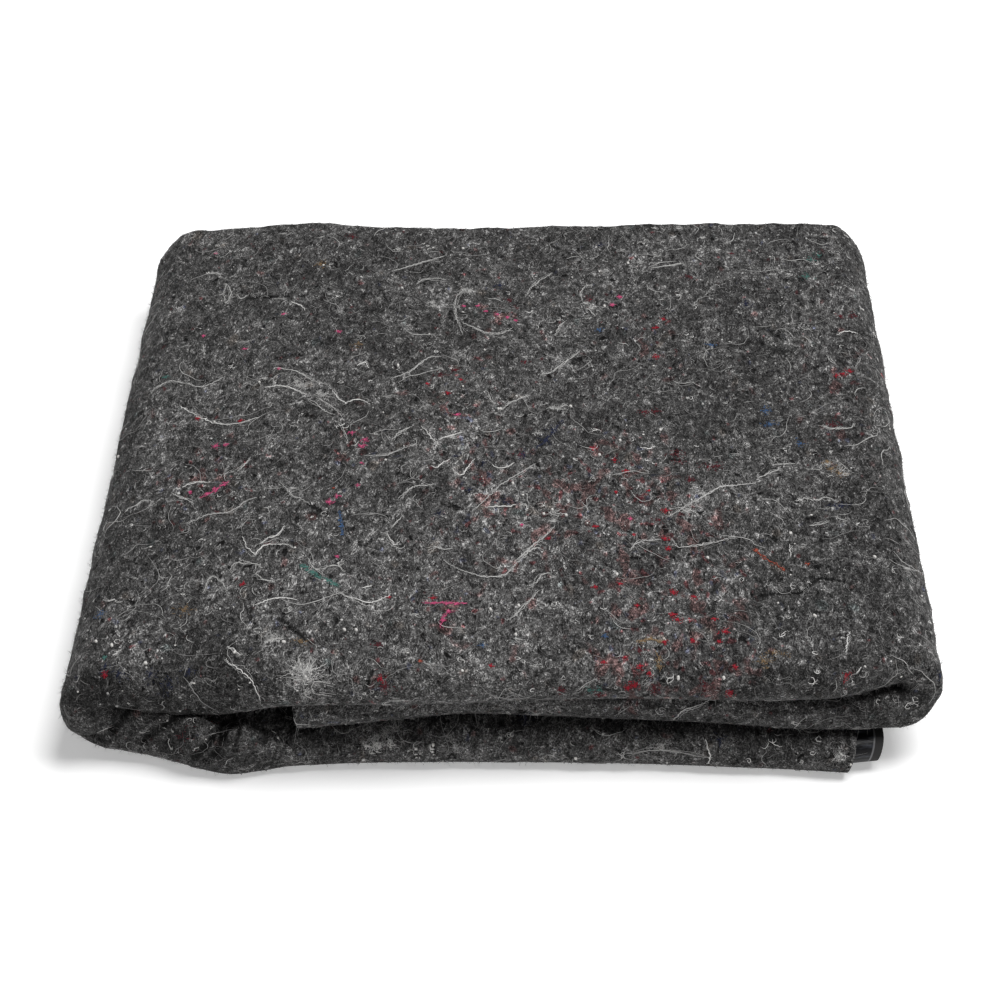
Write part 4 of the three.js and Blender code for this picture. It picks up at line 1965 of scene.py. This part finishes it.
class Lamp(NamedTuple):
    """A square soft lamp that looks at the part: its place and side in metres, and its power in watts."""

    name: str
    at: Point
    side: float
    power: float


@dataclass
class Studio:
    """A pale floor, soft light from above and the camera. Lengths in metres, angles in degrees."""

    floor_size: float = 6.0
    floor_drop: float = 0.0003
    sky: float = 0.16
    lamps: tuple[Lamp, ...] = (
        Lamp("overhead", (0.7, 0.0, 2.1), 1.4, 64.0),
        Lamp("front", (-0.1, -2.0, 0.5), 1.0, 0.8),
    )
    lens: float = 96.407
    elevation: float = 35.527
    yaw: float = -0.663
    distance: float = 1.2986
    aim: Point = (-0.002638, 0.00635, 0.006152)

    def build(self) -> None:
        """Makes the floor, the lights and the camera."""
        self.floor()
        self.lights()
        self.camera()

    def floor(self) -> None:
        """Lays the floor under the part."""
        half = self.floor_size / 2
        mesh = bpy.data.meshes.new("floor")
        corners = [(-half, -half), (half, -half), (half, half), (-half, half)]
        mesh.from_pydata([(x, y, -self.floor_drop) for x, y in corners], [], [(0, 1, 2, 3)])
        mesh.materials.append(FloorFinish("pale_paper").material())
        floor = bpy.data.objects.new("floor", mesh)
        bpy.context.scene.collection.objects.link(floor)

    def lights(self) -> None:
        """Sets an even sky and two large soft lamps."""
        scene = bpy.context.scene
        scene.world = bpy.data.worlds.new("sky")
        scene.world.use_nodes = True
        background = scene.world.node_tree.nodes["Background"]
        background.inputs["Color"].default_value = (1.0, 1.0, 1.0, 1.0)
        background.inputs["Strength"].default_value = self.sky
        scene.view_settings.view_transform = "Standard"
        for lamp in self.lamps:
            light = bpy.data.lights.new(lamp.name, "AREA")
            light.size = lamp.side
            light.energy = lamp.power
            holder = bpy.data.objects.new(lamp.name, light)
            holder.location = lamp.at
            holder.rotation_euler = (-Vector(lamp.at)).to_track_quat("-Z", "Y").to_euler()
            scene.collection.objects.link(holder)

    def camera(self) -> None:
        """Places the camera at the photograph's viewing angle."""
        tilt, yaw = math.radians(self.elevation), math.radians(self.yaw)
        forward = Vector((math.sin(yaw) * math.cos(tilt), math.cos(yaw) * math.cos(tilt), -math.sin(tilt)))
        view = bpy.data.cameras.new("view")
        view.lens = self.lens
        holder = bpy.data.objects.new("view", view)
        holder.location = Vector(self.aim) - forward * self.distance
        holder.rotation_euler = forward.to_track_quat("-Z", "Y").to_euler()
        bpy.context.scene.collection.objects.link(holder)
        bpy.context.scene.camera = holder


class DyeTone(IntEnum):
    """The dyed fibres, in the order of their finishes."""

    RED = 0
    PINK = 1
    MAROON = 2
    NAVY = 3
    TEAL = 4
    OCHRE = 5
    ORANGE = 6
    BLUE = 7


# threads placed one by one: points on the felt in mm, on top where no height is given
WHITE_LINES = (
    ((-117, 33), (-109, 35), (-100, 29), (-96, 26)),
    ((-110, 112), (-107, 110), (-103, 106), (-102, 103)), ((-73, 51), (-71, 53), (-69, 54), (-67, 49)),
    ((-155, 21), (-147, 13), (-136, 6), (-125, 5), (-118, 8)),
    ((-148, -46), (-145, -44), (-140, -43), (-136, -43)),
    ((-108, -95), (-105, -91), (-101, -89), (-98, -82)),
    ((-117, -89), (-110, -102), (-106, -96), (-96, -97), (-93, -99)),
    ((-84, 29), (-82, 25), (-80, 21), (-76, 17)), ((-77, 17), (-73, 20), (-69, 20), (-65, 16)),
    ((-39, -3), (-37, -8), (-34, -13), (-31, -18)), ((-34, -36), (-32, -38), (-29, -34), (-25, -30)),
    ((-24, -38), (-21, -43), (-19, -42), (-17, -36), (-14, -30)),
    ((-6, -34), (-3, -37), (1, -36), (4, -33)), ((-8, -68), (-3, -67), (2, -67), (5, -66)),
    ((7, -66), (10, -66), (10, -72)), ((-52, -88), (-50, -93), (-48, -97), (-46, -94)),
    ((63, -19), (67, -20), (70, -17)), ((127, -94), (127, -98), (127, -102)),
    ((-107, -139), (-100, -135), (-92, -135), (-89, -136)),
    (
        (-116, -174, 52), (-114, -178, 52), (-109, -182, 52),
        (-104, -186, 50), (-102, -189, 47), (-100, -190, 43),
    ),
    ((-160, -176, 23), (-158, -178, 23), (-155, -179, 21), (-150, -181, 20)),
    ((-173, -179, 17), (-171, -180, 20), (-170, -179, 21)),
    ((-130, -190, 16), (-128, -190, 18), (-127, -189, 19)),
    ((-116, -167), (-113, -169), (-110, -173)),
    ((-70, -132), (-63, -136), (-57, -139), (-50, -134), (-48, -132)),
    ((-61, -128), (-59, -127), (-57, -126)),
    ((73, -177, 23), (77, -178, 29), (82, -178, 31), (88, -176, 33)),
    ((145, -170), (146, -163), (147, -157), (148, -155)),
    ((150, -176, 52), (149, -178, 51), (147, -180, 49), (146, -181, 47)),
    ((87, -182, 16), (88, -184, 13), (89, -186, 10), (88, -186, 6)), ((164, 82), (169, 85), (174, 84)),
    ((-31, -14), (-25, -10), (-20, -7)), ((-165, -168), (-164, -165), (-162, -164)),
)
LIGHT_LINES = (
    ((-176, 38), (-163, 46), (-149, 39), (-139, 46)),
    ((-113, 51), (-106, 48), (-100, 44), (-95, 38), (-87, 34)),
    ((-146, 125), (-145, 133), (-142, 124), (-144, 115), (-146, 125)),
    ((-139, 123), (-136, 119), (-133, 121)), ((-155, 146), (-151, 144), (-148, 140)),
    ((-59, 144), (-49, 151), (-38, 157), (-33, 160)), ((-47, 132), (-43, 137), (-38, 138), (-32, 137)),
    ((-19, 120), (-21, 126), (-26, 118), (-26, 100), (-22, 81)),
    ((-23, 92), (-10, 82), (-2, 82), (2, 87)), ((9, 120), (11, 126), (14, 131), (18, 137), (23, 143)),
    ((38, 114), (37, 121), (39, 127), (43, 129)), ((40, 106), (42, 103), (44, 98)),
    ((24, 80), (25, 87), (27, 92), (29, 95)), ((-56, 40), (-46, 47), (-38, 59), (-33, 60)),
    ((16, 44), (22, 47), (27, 53), (32, 59), (36, 65)), ((-1, 14), (2, 19), (6, 22), (12, 25)),
    ((-9, 28), (-7, 21), (-5, 18)), ((72, 144), (83, 147), (92, 151), (95, 154)),
    ((125, 143), (129, 141), (133, 143), (140, 142), (146, 142)),
    ((100, 118), (105, 128), (111, 120), (115, 117)), ((135, 127), (137, 132), (141, 132), (146, 129)),
    ((135, 101), (139, 97), (142, 91)), ((138, 100), (142, 94), (145, 92)),
    ((145, 81), (149, 76), (151, 69)), ((157, 63), (158, 59), (161, 53)),
    ((-95, 22), (-91, 18), (-87, 12), (-81, 7)), ((-91, 23), (-84, 16), (-79, 8), (-77, 3)),
    ((-78, 1), (-76, -6), (-74, -12)), ((-65, -27), (-56, -27), (-46, -20), (-42, -18)),
    ((-53, -14), (-50, -8), (-47, -5), (-44, -3)),
    ((-48, -62), (-44, -55), (-40, -52), (-36, -51), (-32, -50)),
    ((-14, -71), (-8, -61), (-2, -51), (6, -42), (14, -33)), ((-50, -84), (-48, -80), (-46, -76)),
    ((-33, -101), (-30, -98), (-26, -100), (-22, -99)), ((5, -109), (12, -98), (20, -87), (23, -82)),
    ((9, -106), (12, -100), (15, -98), (18, -100)),
    ((74, -74), (83, -65), (91, -57), (99, -50), (111, -47), (116, -45)),
    ((116, -42), (120, -40), (124, -37), (128, -35)), ((125, -31), (129, -31), (134, -31)),
    ((56, -100), (58, -95), (62, -92), (66, -91), (70, -90)),
    ((75, -89), (78, -96), (88, -94), (98, -90), (103, -88)),
    ((132, -60), (137, -58), (142, -59), (146, -57), (152, -60)), ((137, -79), (142, -78), (146, -76)),
    ((149, 1), (153, -1), (158, -1), (163, 0), (165, 4)),
    ((-120, -112), (-118, -108), (-113, -108), (-109, -109), (-106, -112)),
    ((-109, -115), (-106, -119), (-103, -122), (-98, -123)),
    ((-131, -127), (-128, -116), (-122, -123), (-119, -132)),
    ((-177, -126), (-173, -129), (-170, -129), (-168, -131), (-165, -131)),
    ((-86, -106), (-84, -112), (-81, -116), (-78, -120)),
    ((-82, -115), (-78, -114), (-76, -113), (-72, -113), (-69, -117)),
    ((-26, -108), (-18, -115), (-8, -120), (1, -118), (7, -108), (10, -103)),
    ((3, -149), (6, -145), (9, -140), (13, -134), (16, -128)),
    ((12, -127), (15, -122), (17, -118), (20, -116)),
    ((30, -186, 44), (33, -186, 47), (36, -185, 49), (40, -183, 50)),
    ((48, -176, 24), (51, -176, 27), (55, -176, 30), (56, -176, 31)),
    ((52, -184, 10), (63, -185, 12), (73, -185, 12), (84, -186, 10), (90, -186, 10)),
    ((-176, -63), (-173, -61), (-170, -59), (-167, -56), (-163, -54)),
    ((-143, -75), (-135, -69), (-125, -68), (-117, -60), (-113, -59)),
    ((-153, -50), (-148, -55), (-144, -57), (-142, -61)), ((-124, -36), (-122, -32), (-119, -26)),
    ((-103, -48), (-99, -54), (-96, -59), (-92, -62), (-88, -66)),
    ((-47, -190, 44), (-42, -190, 44), (-38, -189, 44), (-35, -189, 45)),
)

# spots of dyed fibre: place in mm, half width, and height where it isn't on top
DYED_SPOTS = {
    DyeTone.RED: (
        (-28, 27, 3), (-22, 38, 2), (-38, 35, 2), (41, -19, 4), (51, -29, 3), (56, -38, 3), (51, -54, 2),
        (66, -54, 2), (73, -69, 4), (72, -89, 4), (73, -97, 3), (51, -123, 3), (74, -129, 4),
        (83, -132, 3), (73, -145, 4), (75, -148, 4), (80, -148, 2), (81, -162, 3), (69, -164, 3),
        (95, -157, 5), (92, -163, 2), (52, -174, 3), (58, -179, 3, 53), (62, -182, 2, 52),
        (56, -185, 4, 48), (53, -185, 3, 47), (96, -185, 4, 45), (-50, -187, 3, 52), (-4, -180, 2),
        (43, -177, 3), (40, -126, 3), (-30, -134, 3), (-49, -134, 2), (164, 46, 4), (160, 44, 3),
        (167, 48, 3), (184, 57, 3, 46), (74, 87, 3, 55), (78, 95, 3, 55), (73, 60, 4, 55),
        (-126, 7, 3, 51), (-147, 12, 3, 49), (-167, -177, 3, 45), (-113, -124, 3, 52), (20, -91, 2),
        (41, -81, 3), (58, -87, 2), (91, -147, 3), (58, -139, 3), (98, -179, 3, 53), (144, -180, 4, 50),
    ),
    DyeTone.PINK: (
        (-136, -14, 4, 50), (-131, -13, 3, 51), (-79, -64, 5), (-76, -60, 3), (-72, -8, 4),
        (-67, -19, 5), (-66, -14, 4), (-66, -34, 2), (-67, -51, 2), (-73, -105, 2), (-29, -138, 2),
        (-24, -139, 2), (-20, -139, 2), (-23, -144, 2), (-25, -150, 2), (-84, 83, 3), (-113, 102, 2),
        (-130, 71, 2, 52), (-153, 164, 2, 51), (-152, 86, 2, 50), (-111, 50, 2, 53), (-136, -52, 2, 50),
        (-133, -49, 2, 50), (-129, -46, 2, 51), (-144, -50, 2, 49), (-22, 109, 2, 53), (-15, 109, 2, 53),
        (-11, 104, 2, 53), (-5, 101, 2, 53), (0, 98, 2, 53), (4, 95, 2), (-23, 8, 3), (57, -76, 2),
        (8, -81, 2), (53, 110, 3), (57, 118, 3),
    ),
    DyeTone.MAROON: (
        (-82, 176, 4, 55), (116, 160, 2, 55), (93, 136, 3, 55), (173, 100, 4), (167, 98, 3, 55),
        (155, 2, 5), (-48, -189, 6, 50), (71, 12, 5), (66, 11, 4), (80, -24, 6), (81, -30, 4),
        (94, -34, 5), (98, -33, 4), (-11, -46, 4), (7, -25, 5), (1, 116, 3, 53), (42, 115, 4),
        (9, 55, 3), (-25, 48, 4), (-32, 43, 4), (-34, -38, 3), (62, -60, 5), (70, -76, 5), (85, -44, 4),
        (-104, -95, 3, 53), (-132, -187, 5, 21), (-123, -184, 4, 24), (-52, -167, 3), (41, -185, 3, 43),
        (64, -185, 4, 46), (85, -185, 4, 48), (58, -169, 4), (25, -186, 3, 46),
    ),
    DyeTone.NAVY: (
        (-10, -34, 5), (9, -25, 5), (19, -13, 5), (22, -4, 4), (0, -63, 6), (150, -64, 6), (153, -63, 4),
        (-167, -174, 4, 46), (-161, -177, 4, 46), (-148, -179, 4, 47), (-140, -182, 5, 44),
        (-131, -179, 4, 49), (185, -171, 3, 43), (-16, -54, 4), (-23, -28, 3), (-29, -73, 4),
        (23, -91, 4), (48, 170, 4), (-4, 131, 4, 53), (10, -172, 5, 18), (120, 109, 5, 55),
        (93, -182, 4, 16),
    ),
    DyeTone.TEAL: (
        (-87, -113, 2), (-83, -117, 2), (-81, -120, 2), (-76, -123, 2), (-73, -125, 2),
        (-167, 50, 2, 48), (-168, -168, 2, 47), (41, -185, 2, 46), (37, -185, 2, 46), (157, 152, 4, 55),
        (161, 158, 3, 55), (153, 136, 4, 55),
    ),
    DyeTone.OCHRE: (
        (151, -34, 4), (154, -38, 4), (149, -29, 3), (59, -163, 2), (63, -161, 2), (67, -163, 2),
        (66, -175, 2), (66, -179, 2, 53), (115, -171, 6), (110, -176, 5), (-97, 147, 5, 55),
        (-74, 71, 4), (-85, -164, 4), (-137, -138, 5, 50),
    ),
    DyeTone.ORANGE: (
        (112, -98, 2), (123, -112, 1), (134, -108, 2), (-78, -53, 1), (-34, -177, 2),
    ),
    DyeTone.BLUE: (
        (-174, -137, 4, 46), (-74, -78, 1), (-73, -83, 1), (-72, -89, 1), (101, 71, 3, 55), (125, 2, 5),
        (124, 13, 4), (-8, -167, 2), (44, -160, 2), (138, -15, 4), (46, 86, 3),
    ),
}


# streaks of dyed fibre: lines on the felt in mm
DYED_STREAKS = (
    (DyeTone.PINK, ((-33, -138), (-22, -138), (-16, -138))),
    (DyeTone.PINK, ((-21, -144), (-25, -147), (-26, -154))),
    (DyeTone.PINK, ((-138, -54), (-133, -51), (-128, -44))),
    (DyeTone.ORANGE, ((111, -98), (115, -104), (123, -112))),
    (DyeTone.OCHRE, ((59, -163), (63, -161), (68, -163))),
    (DyeTone.OCHRE, ((66, -170), (66, -180))),
    (DyeTone.TEAL, ((-88, -112), (-83, -117), (-79, -121), (-71, -126))),
    (DyeTone.BLUE, ((-74, -72), (-73, -79), (-72, -88))),
    (DyeTone.NAVY, ((14, -21), (19, -13), (27, 4))),
)
# small felted lumps and curled rings: places on the felt in mm
NEPS = (
    (-92, -165), (-150, -174), (-166, -161), (-176, -156), (74, -183, 51), (93, -183, 51), (134, -145),
    (7, -140), (-67, -157), (-62, -157), (-5, -142), (6, -159), (50, -116), (-3, 14), (4, -49), (-53, 52),
    (49, 109), (62, 150), (18, -72), (22, -69), (28, -73), (31, 15), (164, -102), (90, -104), (128, -85),
    (44, -25), (73, -3), (54, -12), (32, -184, 8), (-29, -183, 13),
)
RINGS = (
    (26, -184, 51), (13, -187, 47), (132, -170), (135, -182, 17), (143, 3), (125, 120), (121, 122),
    (40, -47), (33, -29), (6, 150), (69, 170), (-164, -158, 48), (-5, -170), (126, -124), (172, -178, 32),
    (175, -177, 35), (159, -178, 34),
)
# tufts whose fibres run out from a middle: place in mm, reach, number of fibres, and height where not on top
FANS = (
    (-81, -188, 11, 120, 51), (-83, -184, 9, 60, 53), (-54, -183, 4, 14, 13), (-47, -183, 4, 8, 13),
    (-100, 33, 10, 18), (-88, 24, 8, 14), (-25, -10, 5, 16), (155, -35, 7, 20), (26, 15, 5, 14),
    (-20, 124, 6, 14, 53), (42, 108, 6, 14), (84, -66, 8, 16), (148, 86, 7, 16), (-96, -162, 6, 16),
    (144, -186, 5, 14, 13), (23, -72, 6, 14),
)
# tangles of curled white fibre: place in mm, number of fibres, their reach, and height where not on top
TANGLES = (
    (-58, -184, 7, 2.2, 14), (-53, -184, 8, 2.2, 14.5), (-48, -184, 7, 2.2, 15), (-54, -185, 4, 3.0, 11),
    (-81, -188, 5, 4.0, 51), (-83, -184, 4, 4.0, 53), (144, -187, 3, 3.0, 13), (-30, -183, 8, 2.0, 12),
    (-37, -183, 8, 2.5, 11),
)
# tufts of pale fluff: place in mm, number of strands, their reach, and height where not on top
FLUFF = (
    (-80, -189, 2, 6.0, 50), (-83, -183, 1, 6.0, 53), (-85, -176, 1, 5.0), (-55, -180, 2, 5.0, 17),
    (-49, -181, 4, 5.0, 16), (19, -10, 1, 4.0), (-24, -10, 2, 3.0), (-57, 166, 2, 4.0, 53),
    (-40, 110, 2, 4.0, 53), (91, -60, 1, 4.0), (84, -69, 2, 4.0), (155, -35, 2, 4.0), (-90, 94, 1, 4.0),
    (-41, -180, 1, 3.0, 30), (151, 86, 2, 4.0), (26, 15, 2, 3.0), (68, -184, 1, 4.0, 12),
    (144, -188, 2, 3.0, 13), (-96, -161, 2, 4.0), (-100, 34, 2, 6.0), (-112, 42, 1, 6.0, 53),
    (-88, 26, 2, 5.0), (5, -67, 1, 5.0), (23, -72, 2, 4.0), (-66, -130, 2, 5.0), (-80, -120, 1, 5.0),
    (-20, 126, 2, 3.0, 53), (40, 108, 2, 4.0), (68, 148, 1, 5.0), (-3, 14, 1, 5.0),
)


@dataclass(frozen=True)
class HandPlaced:
    """What is placed one by one, from the tables: how its threads run and how its tufts are filled. In mm."""

    bright: tuple[DyeTone, ...] = (DyeTone.RED, DyeTone.PINK, DyeTone.ORANGE)
    bright_spread: float = 0.44
    dull_spread: float = 0.75
    spot_many: tuple[int, int] = (8, 9)
    spot_size: Span = (0.9, 0.1)
    streak: tuple[int, float, float] = (3, 1.0, 2.4)
    streak_step: float = 1.5
    streak_jitter: float = 0.6
    knot: tuple[int, float, float] = (2, 0.4, 1.6)
    ring_radii: tuple[float, ...] = (0.8, 0.95, 1.1, 1.25)
    ring_tilt: Point = (1.0, 0.9, 0.7)
    ring_girth: float = 0.6
    strays: int = 2
    stray: float = 0.7
    stray_girth: Span = (0.4, 0.7)
    fan_turn: float = 2.4
    fan_sway: float = 0.4
    fan_bow: float = 0.8
    fan_scatter: float = 0.12
    fan_tilt: Point = (1.0, 0.8, 0.6)
    fan_length: Span = (0.35, 1.0)
    fan_girth: Span = (0.14, 0.4)
    wide_fan: float = 8.0
    low_fan: float = 20.0
    one_in: int = 5

    def dyed(self) -> list[Mark]:
        """Tufts and streaks of dyed fibre.

        Returns:
            The marks, the wider ones fuller, those of a streak turned along it.
        """
        (least, more), (size, growth) = self.spot_many, self.spot_size
        found = []
        for tone, spots in DYED_SPOTS.items():
            share = self.bright_spread if tone in self.bright else self.dull_spread
            for x, y, half, *z in spots:
                at = on_top((x, y, *z))
                found.append(Mark(at, least + more * half, share * half, size + growth * half, tone))
        for tone, line in DYED_STREAKS:
            for (x0, y0), (x1, y1) in zip(line, line[1:]):
                turn = math.atan2(y1 - y0, x1 - x0)
                for t in evenly(0.0, 1.0, self.streak_step / math.hypot(x1 - x0, y1 - y0)):
                    at = (x0 + (x1 - x0) * t, y0 + (y1 - y0) * t, TOP_LEVEL)
                    found.append(Mark(at, *self.streak, tone, turn, self.streak_jitter))
        return found

    def knots(self, tone: int) -> list[Mark]:
        """A couple of felted lumps at each of their places."""
        return [Mark(on_top(at), *self.knot, tone) for at in NEPS]

    @staticmethod
    def tufts(table: Places, size: float, growth: float, tone: int) -> list[Mark]:
        """Fibres gathered at each tuft of a table, longer by the growth for each strand."""
        return [
            Mark(on_top((x, y, *z)), many, reach, size + growth * many, tone)
            for x, y, many, reach, *z in table
        ]

    def rings(self) -> list[Thread]:
        """Small curled rings of white fibre.

        Returns:
            The rings as threads, each a loop tilted towards the front.
        """
        angles = np.linspace(0.3, 5.6, 8)
        loop = np.stack([np.cos(angles), np.sin(angles), np.sin(angles)], axis=-1) * self.ring_tilt
        placed = zip(RINGS, cycle(self.ring_radii))
        return [Thread(np.array(on_top(at)) + r * loop, 1, self.ring_girth) for at, r in placed]

    def plied(self, lines: Sequence[Places], tone: int, girth: float) -> list[Thread]:
        """Threads along lines, each with thinner fibres that stray from it.

        Args:
            lines: Points on the felt in mm, on top where no height is given.
            tone: The threads' tone.
            girth: Their girth.

        Returns:
            The threads and their fibres.
        """
        rng = np.random.default_rng(33)
        found = []
        for line in lines:
            through = np.array([on_top(at) for at in line], float)
            found.append(Thread(through, tone, girth))
            for _ in range(self.strays):
                strayed = through + rng.normal(0, self.stray, through.shape)
                found.append(Thread(strayed, 0, girth * rng.uniform(*self.stray_girth)))
        return found

    def fans(self) -> list[Thread]:
        """Tufts whose fibres run out from a middle.

        Returns:
            The fibres as threads, evenly turned and of uneven length; the wide tufts mostly run out upwards.
        """
        t = np.array((0.05, 0.4, 0.7, 1.0))[:, None]
        rng = np.random.default_rng(31)
        found = []
        for x, y, reach, many, *z in FANS:
            at = on_top((x, y, *z))
            for k in range(many):
                angle = self.fan_turn * k + rng.uniform(-self.fan_sway, self.fan_sway)
                if reach > self.wide_fan and k % self.one_in:
                    angle %= math.pi
                out = np.array((math.cos(angle), math.sin(angle), math.sin(angle))) * self.fan_tilt
                across = np.array((-out[1], out[0], 0.0)) * rng.uniform(-self.fan_bow, self.fan_bow)
                length = reach * rng.uniform(*self.fan_length)
                middle = np.array(at) + rng.normal(0, self.fan_scatter * reach, 3)
                line = middle + length * (t * out + t * t * across)
                white = at[2] < self.low_fan or k % self.one_in == 0
                found.append(Thread(line, int(white), rng.uniform(*self.fan_girth)))
        return found


def fibre_layers() -> list[LooseLayer]:
    """The layers of loose fibre, from the finest to the coarsest.

    Returns:
        The layers, ready to be built.
    """
    colours = {
        "dim_fibre": (0.10, 0.098, 0.097),
        "grey_fibre": (0.20, 0.196, 0.194),
        "pale_fibre": (0.34, 0.335, 0.33),
        "light_thread": (0.50, 0.495, 0.485),
        "white_thread": (0.74, 0.73, 0.715),
        "felted_nep": (0.6, 0.585, 0.565),
        "red_fibre": (0.32, 0.022, 0.036),
        "pink_fibre": (0.52, 0.09, 0.2),
        "maroon_fibre": (0.12, 0.025, 0.032),
        "navy_fibre": (0.025, 0.03, 0.06),
        "teal_fibre": (0.08, 0.2, 0.175),
        "ochre_fibre": (0.24, 0.165, 0.095),
        "orange_fibre": (0.3, 0.07, 0.045),
        "blue_fibre": (0.06, 0.12, 0.24),
    }
    finishes = [FibreFinish(name, colour=colour) for name, colour in colours.items()]
    dim, grey, pale, light, white, nep, *dyes = finishes
    arcs = FibreShapes("arc", variants=14, points=5, bend=2.0, waver=0.6, seed=11)
    hairs = FibreShapes("hair", variants=10, points=3, bend=1.0, waver=0.3, seed=12)
    curls = FibreShapes("curl", variants=20, points=13, bend=1.8, waver=0.9, seed=13)
    hooks = FibreShapes("hook", variants=12, points=7, bend=5.0, waver=1.2, seed=14)
    knots = KnotShapes(variants=8, waver=0.25, seed=15)
    by_hand = HandPlaced()
    threads = by_hand.plied(WHITE_LINES, 1, 0.7) + by_hand.plied(LIGHT_LINES, 0, 0.6)
    threads += by_hand.rings() + by_hand.fans()
    return [
        FibreLayer(
            "surface_fuzz", hairs, (dim, grey), 160000, (1.0, 2.8), "fringe",
            radius=0.085, lift=0.0, rise=2.4, seed=21,
        ),
        FibreLayer(
            "laid_fibres", arcs, (dim, grey, pale, light), 26000, (2.0, 6.5),
            tone_bias=1.5, radius=0.08, girth=(0.5, 1.4), lift=0.1, sink=0.3, seed=22,
        ),
        FibreLayer(
            "pale_fluff", arcs, (grey, pale, light), 800, (2.0, 4.5),
            clump=(8, 22), clump_spread=2.2, jitter=0.6, radius=0.08, lift=0.15, sink=0.3,
            seed=28, marks=by_hand.tufts(FLUFF, 3.0, 0.6, 2),
        ),
        FibreLayer(
            "long_threads", curls, (dim, grey, pale, light), 4600, (6.0, 26.0),
            tone_bias=1.0, radius=0.18, girth=(0.4, 1.2), lift=0.2, sink=0.6, seed=23,
        ),
        FibreLayer(
            "hooked_threads", hooks, (pale, light, white), 2700, (2.2, 6.0),
            clump=(1, 3), clump_spread=1.8, jitter=0.9, radius=0.18, girth=(0.5, 1.2), lift=0.25, sink=0.4,
            seed=24, marks=by_hand.tufts(TANGLES, 3.4, 0.0, 2),
        ),
        PlacedThreads(
            "placed_threads", hairs, (light, white), threads=threads,
            radius=0.34, lift=0.25, sink=0.6, taper=1.0, seed=27,
        ),
        KnotLayer(
            "felted_knots", knots, (pale, light, nep), 2600, (0.5, 1.3),
            tone_bias=1.3, lift=0.1, seed=26, marks=by_hand.knots(2),
        ),
        FibreLayer(
            "dyed_tufts", hairs, dyes, radius=0.15, lift=0.2, sink=0.5, seed=25, marks=by_hand.dyed(),
        ),
    ]


def main() -> None:
    """Builds the part's looks and the studio in order."""
    logging.basicConfig(level=logging.INFO, format="%(message)s")
    Studio().build()
    cloth = FoldedSheet()
    sheet = cloth.build()
    log.info("%s: %d faces", sheet.name, len(sheet.data.polygons))
    loose = []
    for layer in fibre_layers():
        piece = layer.build(sheet)
        layer.dress(piece)
        loose.append(piece)
        log.info("%s: %d faces", piece.name, len(piece.data.polygons))
    cloth.dress(sheet, loose)


if __name__ == "__main__":
    main()
